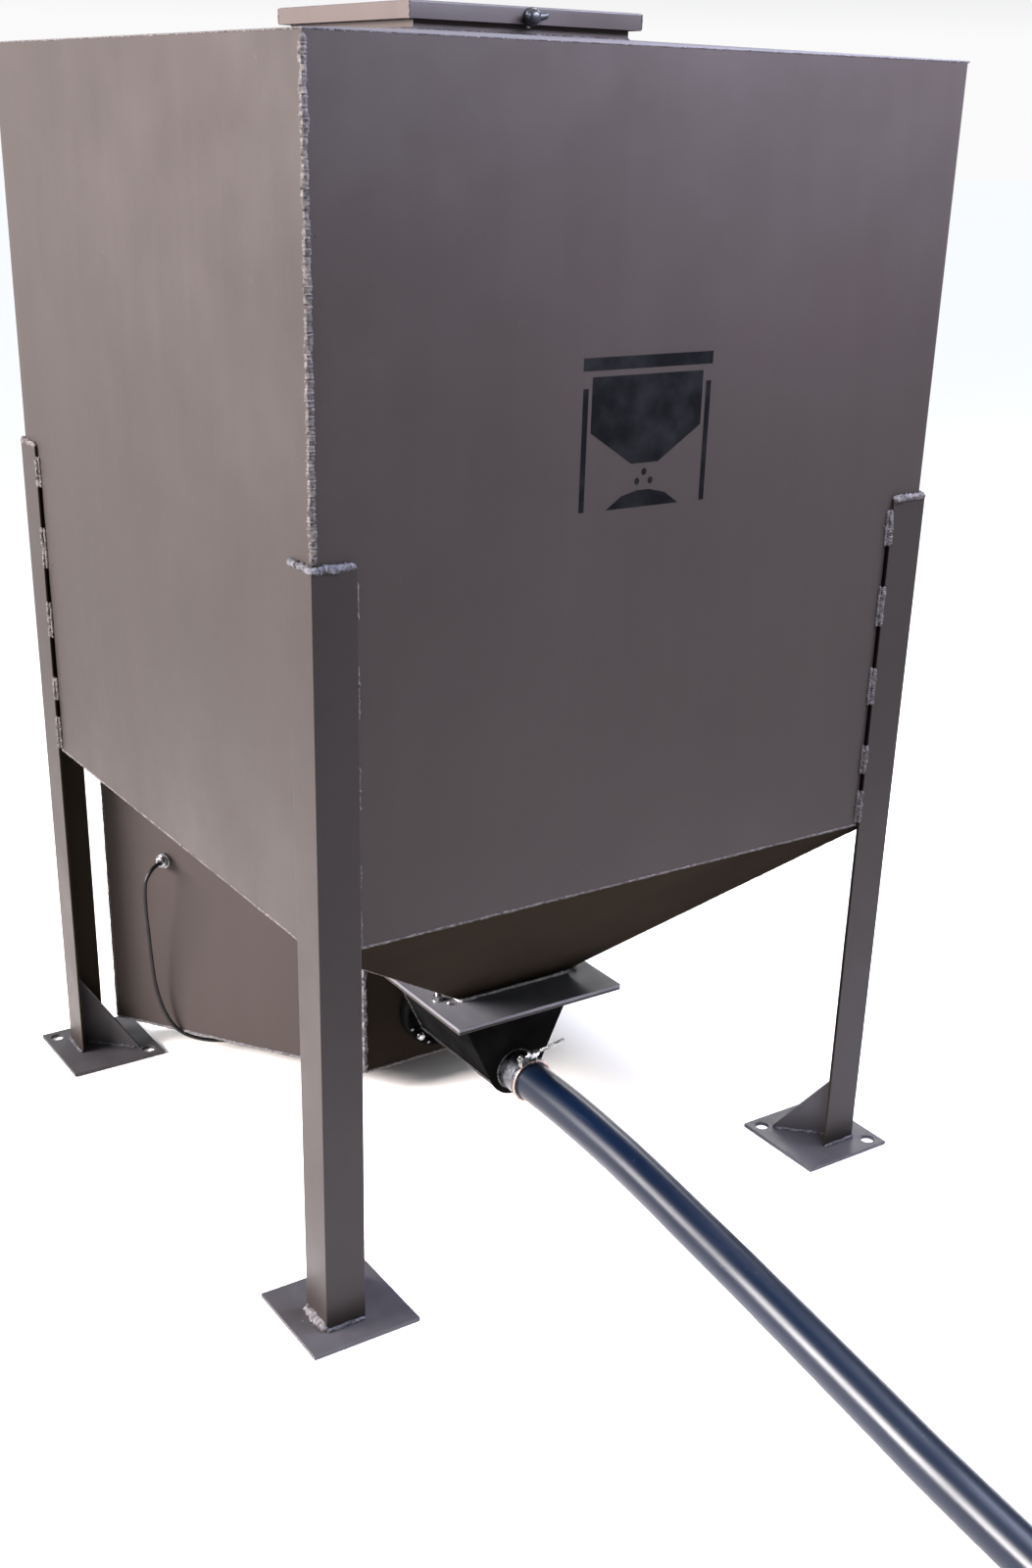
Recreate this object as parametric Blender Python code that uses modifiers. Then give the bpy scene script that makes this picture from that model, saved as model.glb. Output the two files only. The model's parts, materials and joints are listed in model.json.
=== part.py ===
"""Gravity game feeder: a square sheet-steel hopper on angle-iron legs.

The hopper's sloped floor drains through a bolted flange into a trough, where a
motor-driven screw pushes the grain out through a black pipe.  A box under the
rear slope holds the battery, the controller and the motor.

Metres, +Z up.  The origin is on the ground under the hopper's centre, and the
pipe leaves towards -Y.
"""
import math

import bmesh
import bpy
from mathutils import Matrix, Vector

# Driving dimensions -------------------------------------------------------
GAP = 0.0003                # clearance kept between touching pieces
SHEET = 0.002               # 14 gauge sheet
HALF = 0.508                # half of the 40 in square hopper
WALL_BOTTOM = 0.6015
WALL_TOP = 1.706
FOLD_RADIUS = 0.006

ROOF_RISE = 0.018
COLLAR_HALF = 0.175
COLLAR_TOP = 1.752
GASKET_WIDTH = 0.0095
LID_HALF = 0.1885
LID_BOTTOM = 1.738
LID_TOP = 1.760
LID_SHEET = 0.0016
LID_AXIS_Y = LID_HALF + 0.0065
LID_AXIS_Z = 1.744
KNOB_Z = 1.7475
LID_PAWL_Y = -0.1833

LEG_WIDTH = 0.0635          # 2.5 in angle iron
LEG_THICKNESS = 0.0048
LEG_TOP = 1.1166
FOOT_SIDE = 0.173
FOOT_THICKNESS = 0.0064
FOOT_OVERHANG = 0.0412      # foot plate beyond the leg's outer faces
FOOT_HOLE_RADIUS = 0.0115
FOOT_HOLE_INSET = 0.022
GUSSET_HEIGHT = 0.140
GUSSET_REACH = 0.130
GUSSET_THICKNESS = 0.0048

OUTLET_HALF_X = 0.1045      # opening at the foot of the sloped floor
OUTLET_FRONT = -0.2078
OUTLET_REAR = -0.0025
FUNNEL_TOP_HALF = 0.504
FUNNEL_TOP_Z = 0.6035
FUNNEL_FOOT_Z = 0.3028

FLANGE_HALF_X = 0.1575
FLANGE_FRONT = -0.2946
FLANGE_REAR = 0.045
FLANGE_TOP = 0.300
FLANGE_THICKNESS = 0.006
HOUSING_FLANGE_THICKNESS = 0.004
BOLT_X = 0.134
BOLT_YS = (-0.189, -0.030)
BOLT_RADIUS = 0.004
BOLT_HOLE_RADIUS = 0.0046

AXIS_Z = 0.151              # screw and pipe axis
TROUGH_RADIUS = 0.044
TROUGH_SHEET = 0.003
SIDE_SLOPE = 0.47           # sideways run of the trough's sides per unit of height
TROUGH_FRONT = -0.2177
TROUGH_REAR = 0.0170
END_PLATE = 0.0035
END_LIP = 0.004
PIPE_RADIUS = 0.0325
SPIGOT_RADIUS = 0.0345
SPIGOT_END = -0.275
CLAMP_Y = -0.2685
CLAMP_WIDTH = 0.012
CLAMP_BOLT_TILT = math.radians(10)
CLAMP_BOLT_RADIUS = 0.003
CLAMP_BOLT_OFFSET = 0.0460  # clamp bolt's distance from the pipe axis
SCREW_RADIUS = 0.037
SCREW_SHAFT_RADIUS = 0.010
SCREW_PITCH = 0.060
SCREW_FRONT = -0.206
SHAFT_END = 0.036

GEAR_RADIUS = 0.069
GEAR_FRONT = 0.0211
GEAR_REAR = 0.0480
GEAR_BOLT_CIRCLE = 0.058
MOTOR_RADIUS = 0.038
MOTOR_REAR = 0.165

BOX_FRONT_HALF = 0.1392
BOX_FRONT_Y = 0.0508
BOX_REAR_HALF = 0.4318
BOX_REAR_Y = 0.4755
BOX_BOTTOM = 0.0508
FRAME_TOP = 0.583
DOORWAY_HALF = 0.300
DOORWAY_BOTTOM = 0.100
DOORWAY_TOP = 0.500
DOOR_LAP = 0.015
DOOR_DEPTH = 0.012
DOOR_AXIS_X = -0.321
DOOR_AXIS_Y = 0.4858
DOOR_LATCH_X = 0.285
DOOR_LATCH_Z = 0.300

GLAND_ALONG = 0.392         # from the box's front left corner along its left panel
GLAND_Z = 0.3906
CABLE_RADIUS = 0.0035
GROMMET_ALONG = 0.268
GROMMET_INWARD = 0.118

COUPLING_RADIUS = 0.039
COUPLING_LENGTH = 0.090

SMOOTH_ANGLE = math.radians(40)
LEFT, RIGHT, FRONT, REAR = -1, 1, -1, 1

# The cable hangs from the gland, and these are its free points in the left
# panel's frame: along the panel from the front corner, out of it, and up.
CABLE_FREE_POINTS = (
    (0.3922, 0.0240, 0.3905), (0.3945, 0.0378, 0.3864), (0.3980, 0.0488, 0.3752),
    (0.4015, 0.0530, 0.3596), (0.4050, 0.0505, 0.3300), (0.4085, 0.0445, 0.2950),
    (0.4110, 0.0370, 0.2500), (0.4130, 0.0300, 0.2000), (0.4125, 0.0240, 0.1520),
    (0.4070, 0.0185, 0.1120), (0.3965, 0.0130, 0.0790), (0.3810, 0.0060, 0.0545),
    (0.3600, -0.0040, 0.0400), (0.3350, -0.0220, 0.0290), (0.3127, -0.0517, 0.0180),
    (0.2987, -0.0724, 0.0125), (0.2859, -0.0915, 0.0100), (0.2769, -0.1047, 0.0143),
    (0.2704, -0.1144, 0.0260),
)

# The pipe droops from the spigot and comes to rest on the ground.
PIPE_POINTS = (
    (0.0000, -0.235, 0.1510), (0.0000, -0.290, 0.1512), (0.0000, -0.360, 0.1508),
    (0.0000, -0.438, 0.1470), (-0.0005, -0.532, 0.1400), (-0.0015, -0.620, 0.1305),
    (-0.0030, -0.702, 0.1210), (-0.0045, -0.780, 0.1120), (-0.0065, -0.860, 0.1030),
    (-0.0090, -0.935, 0.0945), (-0.0110, -1.003, 0.0865), (-0.0130, -1.070, 0.0785),
    (-0.0150, -1.136, 0.0705), (-0.0165, -1.200, 0.0620), (-0.0180, -1.260, 0.0560),
    (-0.0195, -1.345, 0.0475), (-0.0210, -1.430, 0.0410), (-0.0220, -1.520, 0.0395),
    (-0.0230, -1.700, 0.0395),
)


# Scene, collections and materials -----------------------------------------
def clear_scene():
    for obj in list(bpy.data.objects):
        bpy.data.objects.remove(obj, do_unlink=True)


def new_collection(name):
    collection = bpy.data.collections.new(name)
    bpy.context.scene.collection.children.link(collection)
    return collection


def material(name, colour, roughness, metallic=0.0):
    mat = bpy.data.materials.new(name)
    mat.use_nodes = True
    shader = mat.node_tree.nodes["Principled BSDF"]
    shader.inputs["Base Color"].default_value = (*colour, 1.0)
    shader.inputs["Roughness"].default_value = roughness
    shader.inputs["Metallic"].default_value = metallic
    mat.diffuse_color = (*colour, 1.0)
    return mat


PAINT_COLOUR = (0.30, 0.255, 0.235)
STEEL_COLOUR = (0.45, 0.45, 0.46)
BLACK_COLOUR = (0.012, 0.012, 0.013)


def paint(name):
    return material(name + "_paint", PAINT_COLOUR, 0.38, 0.55)


def black_paint(name):
    return material(name + "_black_paint", BLACK_COLOUR, 0.35, 0.0)


def steel(name):
    return material(name + "_zinc_steel", STEEL_COLOUR, 0.35, 1.0)


def black_plastic(name):
    return material(name + "_black_plastic", (0.02, 0.02, 0.022), 0.5)


# Plane geometry -----------------------------------------------------------
def arc(centre, radius, start, end, steps):
    """Points of an arc from the angle start to the angle end, in radians."""
    turns = [start + (end - start) * i / steps for i in range(steps + 1)]
    return [(centre[0] + radius * math.cos(a), centre[1] + radius * math.sin(a)) for a in turns]


def circle(centre, radius, steps=20):
    return arc(centre, radius, 0.0, 2 * math.pi, steps)[:-1]


def rectangle(x0, y0, x1, y1):
    return [(x0, y0), (x1, y0), (x1, y1), (x0, y1)]


def bent_band(start, corner, end, thickness, radius, steps=6):
    """Outline of a sheet that runs start-corner-end and folds to its left."""
    start, corner, end = Vector(start), Vector(corner), Vector(end)
    first, second = (corner - start).normalized(), (end - corner).normalized()
    turn = first.angle_signed(second)
    left = Vector((-first.y, first.x))
    centre = corner - first * radius * math.tan(abs(turn) / 2) + left * radius
    spokes = [Matrix.Rotation(abs(turn) * i / steps, 2) @ left for i in range(steps + 1)]
    outer = [start] + [centre - n * radius for n in spokes] + [end]
    inner = [start + left * thickness]
    inner += [centre - n * (radius - thickness) for n in spokes]
    inner += [end + spokes[-1] * thickness]
    return [tuple(p) for p in outer + inner[::-1]]


def trough_outline(radius, top):
    """Open outline of the trough in X and Z: a side, the round bottom, a side."""
    lean = math.atan(SIDE_SLOPE)
    half = radius / math.cos(lean) + SIDE_SLOPE * (top - AXIS_Z)
    bottom = arc((0.0, AXIS_Z), radius, -lean, lean - math.pi, 12)
    return [(half, top)] + bottom + [(-half, top)]


def smooth_route(points, spacing):
    """Points about spacing apart on a Catmull-Rom curve through the points."""
    points = [Vector(p) for p in points]
    ends = [2 * points[0] - points[1]] + points + [2 * points[-1] - points[-2]]
    route = [points[0]]
    for a, b, c, d in zip(ends, ends[1:], ends[2:], ends[3:]):
        steps = max(1, round((c - b).length / spacing))
        for i in range(1, steps + 1):
            t = i / steps
            route.append(0.5 * (2 * b + (c - a) * t + (2 * a - 5 * b + 4 * c - d) * t ** 2
                                + (3 * b - a - 3 * c + d) * t ** 3))
    return route


# Object builders ----------------------------------------------------------
def frame(origin, x_axis, y_axis):
    """Matrix that puts local X and Y along the two axes, at the origin."""
    x_axis, y_axis = Vector(x_axis).normalized(), Vector(y_axis).normalized()
    axes = Matrix((x_axis, y_axis, x_axis.cross(y_axis))).transposed().to_4x4()
    return Matrix.Translation(origin) @ axes


FLAT = ((1, 0, 0), (0, 1, 0))          # outline in X and Y, thickness along Z
UPRIGHT = ((1, 0, 0), (0, 0, 1))       # outline in X and Z, thickness along Y


def from_mesh(name, bm, mat, matrix=None):
    mesh = bpy.data.meshes.new(name)
    bm.to_mesh(mesh)
    bm.free()
    mesh.materials.append(mat)
    mesh.shade_smooth()
    mesh.set_sharp_from_angle(angle=SMOOTH_ANGLE)
    obj = bpy.data.objects.new(name, mesh)
    obj.matrix_world = matrix or Matrix()
    parts.objects.link(obj)
    return obj


def plate(name, outline, thickness, matrix, mat, holes=()):
    """A flat outline with holes, half its thickness to each side of the matrix's plane."""
    curve = bpy.data.curves.new(name + "_outline", "CURVE")
    curve.dimensions = "2D"
    curve.fill_mode = "BOTH"
    curve.extrude = thickness / 2
    for loop in (outline, *holes):
        spline = curve.splines.new("POLY")
        spline.points.add(len(loop) - 1)
        for point, (x, y) in zip(spline.points, loop):
            point.co = (x, y, 0.0, 1.0)
        spline.use_cyclic_u = True
    drawing = bpy.data.objects.new(name + "_drawing", curve)
    drawing.matrix_world = matrix
    parts.objects.link(drawing)
    return as_mesh(drawing, name, mat)


def as_mesh(drawing, name, mat):
    """Replace a curve object by a welded mesh object."""
    bpy.context.view_layer.update()
    evaluated = drawing.evaluated_get(bpy.context.evaluated_depsgraph_get())
    mesh = bpy.data.meshes.new_from_object(evaluated)
    bm = bmesh.new()
    bm.from_mesh(mesh)
    bmesh.ops.remove_doubles(bm, verts=bm.verts, dist=1e-6)
    bmesh.ops.recalc_face_normals(bm, faces=bm.faces)
    obj = from_mesh(name, bm, mat, drawing.matrix_world.copy())
    bpy.data.objects.remove(drawing, do_unlink=True)
    return obj


def block(name, low, high, mat, bevel=0.0):
    """An upright box between two corners."""
    low, high = Vector(low), Vector(high)
    bm = bmesh.new()
    bmesh.ops.create_cube(bm, size=1.0)
    bmesh.ops.scale(bm, vec=high - low, verts=bm.verts)
    obj = from_mesh(name, bm, mat, Matrix.Translation((low + high) / 2))
    if bevel:
        round_edges(obj, bevel)
    return obj


def rod(name, start, end, radius, mat, sides=20):
    """A cylinder from start to end."""
    start, end = Vector(start), Vector(end)
    bm = bmesh.new()
    bmesh.ops.create_cone(bm, cap_ends=True, segments=sides, radius1=radius, radius2=radius,
                          depth=(end - start).length)
    turn = (end - start).to_track_quat("Z", "Y").to_matrix().to_4x4()
    return from_mesh(name, bm, mat, Matrix.Translation((start + end) / 2) @ turn)


def turned(name, profile, origin, axis, mat, steps=32, closed=False):
    """A (radius, height) profile, from the top down its outer side, turned about an axis."""
    bm = bmesh.new()
    verts = [bm.verts.new((r, 0.0, h)) for r, h in profile]
    for a, b in zip(verts, verts[1:]):
        bm.edges.new((a, b))
    if closed:
        bm.edges.new((verts[-1], verts[0]))
    turn = Vector(axis).to_track_quat("Z", "Y").to_matrix().to_4x4()
    obj = from_mesh(name, bm, mat, Matrix.Translation(origin) @ turn)
    screw = obj.modifiers.new("turn", "SCREW")
    screw.steps = screw.render_steps = steps
    screw.use_merge_vertices = True
    screw.merge_threshold = 1e-5
    return obj


def ring(name, inner, outer, low, high, origin, axis, mat, steps=32):
    profile = [(inner, high), (outer, high), (outer, low), (inner, low)]
    return turned(name, profile, origin, axis, mat, steps, closed=True)


def square_tube(name, lower_half, upper_half, low, high, thickness, mat, offset=-1.0):
    """Four sheets around a square, sloped where the two half sizes differ."""
    bm = bmesh.new()
    bmesh.ops.create_cone(bm, cap_ends=False, segments=4, radius1=lower_half * math.sqrt(2),
                          radius2=upper_half * math.sqrt(2), depth=high - low)
    bmesh.ops.rotate(bm, matrix=Matrix.Rotation(math.pi / 4, 3, "Z"), verts=bm.verts)
    obj = from_mesh(name, bm, mat, Matrix.Translation((0.0, 0.0, (low + high) / 2)))
    thicken(obj, thickness, offset)
    return obj


def pan(name, low, high, open_side, thickness, mat, bevel):
    """A sheet tray: a box without the side whose normal is open_side."""
    low, high = Vector(low), Vector(high)
    bm = bmesh.new()
    bmesh.ops.create_cube(bm, size=1.0)
    bmesh.ops.scale(bm, vec=high - low, verts=bm.verts)
    opening = [f for f in bm.faces if f.normal.dot(Vector(open_side)) > 0.9]
    bmesh.ops.delete(bm, geom=opening, context="FACES_ONLY")
    obj = from_mesh(name, bm, mat, Matrix.Translation((low + high) / 2))
    round_edges(obj, bevel)
    thicken(obj, thickness, -1.0)
    return obj


def tube(name, points, spacing, radius, mat):
    """A solid round tube along a smooth route, with flat ends."""
    route = smooth_route(points, spacing)
    curve = bpy.data.curves.new(name, "CURVE")
    curve.dimensions = "3D"
    curve.bevel_depth = radius
    curve.bevel_resolution = 3
    curve.use_fill_caps = True
    curve.materials.append(mat)
    spline = curve.splines.new("POLY")
    spline.points.add(len(route) - 1)
    for point, place in zip(spline.points, route):
        point.co = (*place, 1.0)
    obj = bpy.data.objects.new(name, curve)
    parts.objects.link(obj)
    return obj


# Modifiers ----------------------------------------------------------------
def thicken(obj, thickness, offset):
    shell = obj.modifiers.new("thickness", "SOLIDIFY")
    shell.thickness = thickness
    shell.offset = offset
    shell.use_even_offset = True


def round_edges(obj, width, segments=2):
    bevel = obj.modifiers.new("round", "BEVEL")
    bevel.width = width
    bevel.segments = segments
    bevel.limit_method = "ANGLE"


def as_tool(obj):
    """Move an object to the cutters, where it shapes others and is left out."""
    parts.objects.unlink(obj)
    cutters.objects.link(obj)
    obj.hide_render = True
    obj.display_type = "WIRE"
    return obj


def combine(obj, tool, operation):
    boolean = obj.modifiers.new(operation.lower(), "BOOLEAN")
    boolean.operation = operation
    boolean.object = tool if tool.name in cutters.objects else as_tool(tool)


def cut(obj, *tools):
    for tool in tools:
        combine(obj, tool, "DIFFERENCE")


def join(obj, *tools):
    for tool in tools:
        combine(obj, tool, "UNION")


def set_origin(obj, place):
    """Put an object's origin on its joint's axis without moving its shape."""
    shift = obj.matrix_world.inverted() @ Vector(place)
    obj.data.transform(Matrix.Translation(-shift))
    obj.matrix_world = obj.matrix_world @ Matrix.Translation(shift)


# Hopper -------------------------------------------------------------------
def build_walls():
    """Two sheets, each folded at one corner and welded to the other at its ends."""
    height = WALL_TOP - WALL_BOTTOM
    butt = HALF - SHEET - GAP
    outline = bent_band((-HALF, -HALF), (HALF, -HALF), (HALF, butt), SHEET, FOLD_RADIUS)
    place = frame((0, 0, WALL_BOTTOM + height / 2), *FLAT)
    half_turn = Matrix.Rotation(math.pi, 4, "Z")
    for name, matrix in (("wall_sheet_front_right", place),
                         ("wall_sheet_rear_left", half_turn @ place)):
        plate(name, outline, height, matrix, paint(name))


def build_roof():
    low = WALL_TOP + GAP
    square_tube("roof_panel", HALF, COLLAR_HALF + 0.0007, low, low + ROOF_RISE, SHEET,
                paint("roof_panel"), offset=1.0)


def build_funnel():
    """Four sloped sheets between the walls and the outlet, thick on their lower side."""
    top = FUNNEL_TOP_HALF
    corners = {
        "funnel_front": ((-top, -top), (top, -top), (OUTLET_HALF_X, OUTLET_FRONT),
                         (-OUTLET_HALF_X, OUTLET_FRONT)),
        "funnel_right": ((top, -top), (top, top), (OUTLET_HALF_X, OUTLET_REAR),
                         (OUTLET_HALF_X, OUTLET_FRONT)),
        "funnel_rear": ((top, top), (-top, top), (-OUTLET_HALF_X, OUTLET_REAR),
                        (OUTLET_HALF_X, OUTLET_REAR)),
        "funnel_left": ((-top, top), (-top, -top), (-OUTLET_HALF_X, OUTLET_FRONT),
                        (-OUTLET_HALF_X, OUTLET_REAR)),
    }
    heights = (FUNNEL_TOP_Z, FUNNEL_TOP_Z, FUNNEL_FOOT_Z, FUNNEL_FOOT_Z)
    planes = {}
    for name, plan in corners.items():
        points = [Vector((*xy, z)) for xy, z in zip(plan, heights)]
        along = (points[1] - points[0]).normalized()
        down = (points[3] - points[0]).cross(along).cross(along).normalized()
        down = down if down.z < 0 else -down
        outward = along.cross(down)
        outward = outward if outward.z < 0 else -outward
        plane = frame(points[0] + outward * SHEET / 2, along, down)
        local = [(plane.inverted() @ p).to_2d() for p in points]
        left_slant = (local[3] - local[0]).normalized()
        right_slant = (local[2] - local[1]).normalized()
        inset = [local[0].x + GAP / abs(left_slant.y), local[1].x - GAP / abs(right_slant.y),
                 local[2].x - GAP / abs(right_slant.y), local[3].x + GAP / abs(left_slant.y)]
        outline = [(x, p.y) for x, p in zip(inset, local)]
        plate(name, outline, SHEET, plane, paint(name))
        planes[name] = plane
    return planes


def build_fill_opening():
    collar = square_tube("fill_collar", COLLAR_HALF, COLLAR_HALF, 1.716, COLLAR_TOP, SHEET,
                         paint("fill_collar"))
    strike_low = KNOB_Z + 0.0029
    strike = block("lid_strike", (0.0070, -0.1838, strike_low),
                   (0.0175, -COLLAR_HALF + SHEET / 2, strike_low + 0.0016), paint("lid_strike"))
    join(collar, strike)

    gasket_low = COLLAR_TOP + 0.0006
    gasket_top = LID_TOP - LID_SHEET - GAP
    gasket_half = COLLAR_HALF + 0.0015
    gasket = square_tube("lid_gasket", gasket_half, gasket_half, gasket_low, gasket_top,
                         GASKET_WIDTH, material("lid_gasket_foam", (0.015, 0.015, 0.016), 0.9))

    lid = pan("lid", (-LID_HALF, -LID_HALF, LID_BOTTOM), (LID_HALF, LID_HALF, LID_TOP),
              (0, 0, -1), LID_SHEET, paint("lid"), 0.0025)
    hole = rod("lid_knob_hole", (0, -LID_HALF - 0.005, KNOB_Z), (0, -LID_HALF + 0.005, KNOB_Z),
               0.0033, lid.active_material)
    cut(lid, hole)
    for obj in (lid, gasket):
        set_origin(obj, (0, LID_AXIS_Y, LID_AXIS_Z))


def build_lid_latch():
    """A wing knob outside the lid's front skirt turns a pawl inside it."""
    outside = -LID_HALF - GAP
    black = black_plastic("lid_knob")
    knob = turned("lid_knob", [(0, 0.0042), (0.0100, 0.0042), (0.0110, 0.0032), (0.0110, 0.0),
                               (0, 0.0)], (0, outside, KNOB_Z), (0, -1, 0), black, 24)
    wing = block("lid_knob_wing", (-0.018, outside - 0.0150, KNOB_Z - 0.0050),
                 (0.018, outside - 0.0040, KNOB_Z + 0.0050), black, 0.002)
    shaft = rod("lid_knob_shaft", (0, outside - 0.002, KNOB_Z), (0, -0.1815, KNOB_Z), 0.0030, black)
    join(knob, wing, shaft)

    outline = arc((0, 0), 0.0045, math.radians(-35), math.radians(215), 12)
    outline += [(-0.0024, -0.0050), (-0.0024, -0.0135), (0.0024, -0.0135), (0.0024, -0.0050)]
    plate("lid_pawl", outline, 0.002, frame((0, LID_PAWL_Y, KNOB_Z), *UPRIGHT),
          steel("lid_pawl"), [circle((0, 0), 0.0033)])


def build_hinge(prefix, axis_point, axis, length, to_base, base_leaf, moving_leaf):
    """A three-knuckle hinge: a base with the end knuckles, a leaf with the middle one, a pin."""
    axis_point, axis = Vector(axis_point), Vector(axis)
    knuckle, barrel, bore, pin_radius, end_gap = length / 3, 0.0050, 0.0029, 0.0025, 0.0005
    zinc = steel(prefix + "_hinge")
    base = block(prefix + "_hinge_base", *base_leaf, zinc)
    leaf = block(prefix + "_hinge_leaf", *moving_leaf, zinc)
    spans = ((base, -1.5, -0.5), (leaf, -0.5, 0.5), (base, 0.5, 1.5))
    bores = []
    for number, (owner, low, high) in enumerate(spans):
        start = axis_point + axis * (low * knuckle + end_gap / 2)
        end = axis_point + axis * (high * knuckle - end_gap / 2)
        shell = rod("%s_knuckle_%d" % (prefix, number), start, end, barrel, zinc, 16)
        join(owner, shell)
        if owner is base:
            web_centre = (start + end) / 2
            foot = to_base - axis_point
            low_corner = Vector([min(a, b) for a, b in zip(start, end + foot)])
            high_corner = Vector([max(a, b) for a, b in zip(start, end + foot)])
            web_half = (1 - abs(axis.x), 1 - abs(axis.y), 1 - abs(axis.z))
            thin = Vector([0.0012 * w if abs(f) < 1e-6 else 0.0 for w, f in zip(web_half, foot)])
            join(owner, block("%s_web_%d" % (prefix, number), low_corner - thin,
                              high_corner + thin, zinc))
        bores.append(rod("%s_bore_%d" % (prefix, number), start - axis * 0.002,
                         end + axis * 0.002, bore, zinc, 16))
    cut(base, bores[0], bores[2])
    cut(leaf, bores[1])
    rod(prefix + "_hinge_pin", axis_point - axis * (length / 2 + 0.003),
        axis_point + axis * (length / 2 + 0.003), pin_radius, steel(prefix + "_pin"), 16)
    set_origin(leaf, axis_point)


def build_lid_hinge():
    half = 0.060
    roof_top = 1.7273
    build_hinge("lid", (0, LID_AXIS_Y, LID_AXIS_Z), (1, 0, 0), 2 * half,
                Vector((0, LID_AXIS_Y, roof_top + 0.001)),
                ((-half, LID_AXIS_Y - 0.003, roof_top), (half, LID_AXIS_Y + 0.027, roof_top + 0.002)),
                ((-half / 3 + 0.001, LID_HALF + GAP, LID_AXIS_Z - 0.002),
                 (half / 3 - 0.001, LID_HALF + GAP + 0.002, LID_TOP - 0.004)))


# Legs ---------------------------------------------------------------------
def corner_name(side, end):
    return ("front" if end == FRONT else "rear") + "_" + ("left" if side == LEFT else "right")


def build_leg(side, end):
    """An angle iron around a corner, on a foot plate with a diagonal gusset."""
    name = corner_name(side, end)
    outer = HALF + GAP + LEG_THICKNESS
    inner, toe = outer - LEG_THICKNESS, outer - LEG_WIDTH
    section = [(outer, outer), (toe, outer), (toe, inner), (inner, inner), (inner, toe),
               (outer, toe)]
    low = FOOT_THICKNESS + GAP
    centre = frame((0, 0, (low + LEG_TOP) / 2), *FLAT)
    plate("leg_" + name, [(side * x, end * y) for x, y in section], LEG_TOP - low, centre,
          paint("leg_" + name))

    edge = outer + FOOT_OVERHANG
    far = edge - FOOT_SIDE
    inner_hole = far + FOOT_HOLE_INSET
    outer_hole = edge - FOOT_HOLE_INSET
    holes = [circle((side * inner_hole, end * inner_hole), FOOT_HOLE_RADIUS)]
    if (side, end) != (LEFT, FRONT):
        holes.append(circle((side * outer_hole, end * outer_hole), FOOT_HOLE_RADIUS))
    foot = plate("foot_" + name, rectangle(side * far, end * far, side * edge, end * edge),
                 FOOT_THICKNESS, frame((0, 0, FOOT_THICKNESS / 2), *FLAT),
                 paint("foot_" + name), holes)

    start = Vector((side * inner, end * inner, FOOT_THICKNESS))
    inward = Vector((-side, -end, 0)).normalized()
    clear = GUSSET_THICKNESS / 2 + 0.0008
    triangle = [(clear, -0.001), (clear, GUSSET_HEIGHT), (clear + 0.006, GUSSET_HEIGHT),
                (GUSSET_REACH, 0.004), (GUSSET_REACH, -0.001)]
    gusset = plate("gusset_" + name, triangle, GUSSET_THICKNESS, frame(start, inward, (0, 0, 1)),
                   foot.active_material)
    join(foot, gusset)


# Outlet and screw housing -------------------------------------------------
def build_flanges():
    outline = rectangle(-FLANGE_HALF_X, FLANGE_FRONT, FLANGE_HALF_X, FLANGE_REAR)
    opening = rectangle(-OUTLET_HALF_X, OUTLET_FRONT, OUTLET_HALF_X, OUTLET_REAR)
    places = [(x, y) for x in (-BOLT_X, BOLT_X) for y in BOLT_YS]
    holes = [opening] + [circle(place, BOLT_HOLE_RADIUS, 16) for place in places]
    upper_mid = FLANGE_TOP - FLANGE_THICKNESS / 2
    lower_top = FLANGE_TOP - FLANGE_THICKNESS - GAP
    lower_mid = lower_top - HOUSING_FLANGE_THICKNESS / 2
    plate("outlet_flange", outline, FLANGE_THICKNESS, frame((0, 0, upper_mid), *FLAT),
          paint("outlet_flange"), holes)
    plate("housing_flange", outline, HOUSING_FLANGE_THICKNESS, frame((0, 0, lower_mid), *FLAT),
          paint("housing_flange"), holes)
    for x, y in places:
        name = "flange_bolt_" + corner_name(math.copysign(1, x), FRONT if y == BOLT_YS[0] else REAR)
        build_flange_bolt(name, x, y, lower_top - HOUSING_FLANGE_THICKNESS)


def build_flange_bolt(name, x, y, under_side):
    """A bolt up through both flanges, with its nut and washer on top."""
    zinc = steel(name)
    shank = rod(name, (x, y, under_side - 0.004), (x, y, FLANGE_TOP + 0.017), BOLT_RADIUS, zinc, 12)
    head = rod(name + "_head", (x, y, under_side - GAP - 0.0055), (x, y, under_side - GAP), 0.0075,
               zinc, 6)
    washer = rod(name + "_washer", (x, y, FLANGE_TOP + GAP), (x, y, FLANGE_TOP + 0.002), 0.0090,
                 zinc, 16)
    nut = rod(name + "_nut", (x, y, FLANGE_TOP + 0.0015), (x, y, FLANGE_TOP + 0.0085), 0.0075,
              zinc, 6)
    join(shank, head, washer, nut)


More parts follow.
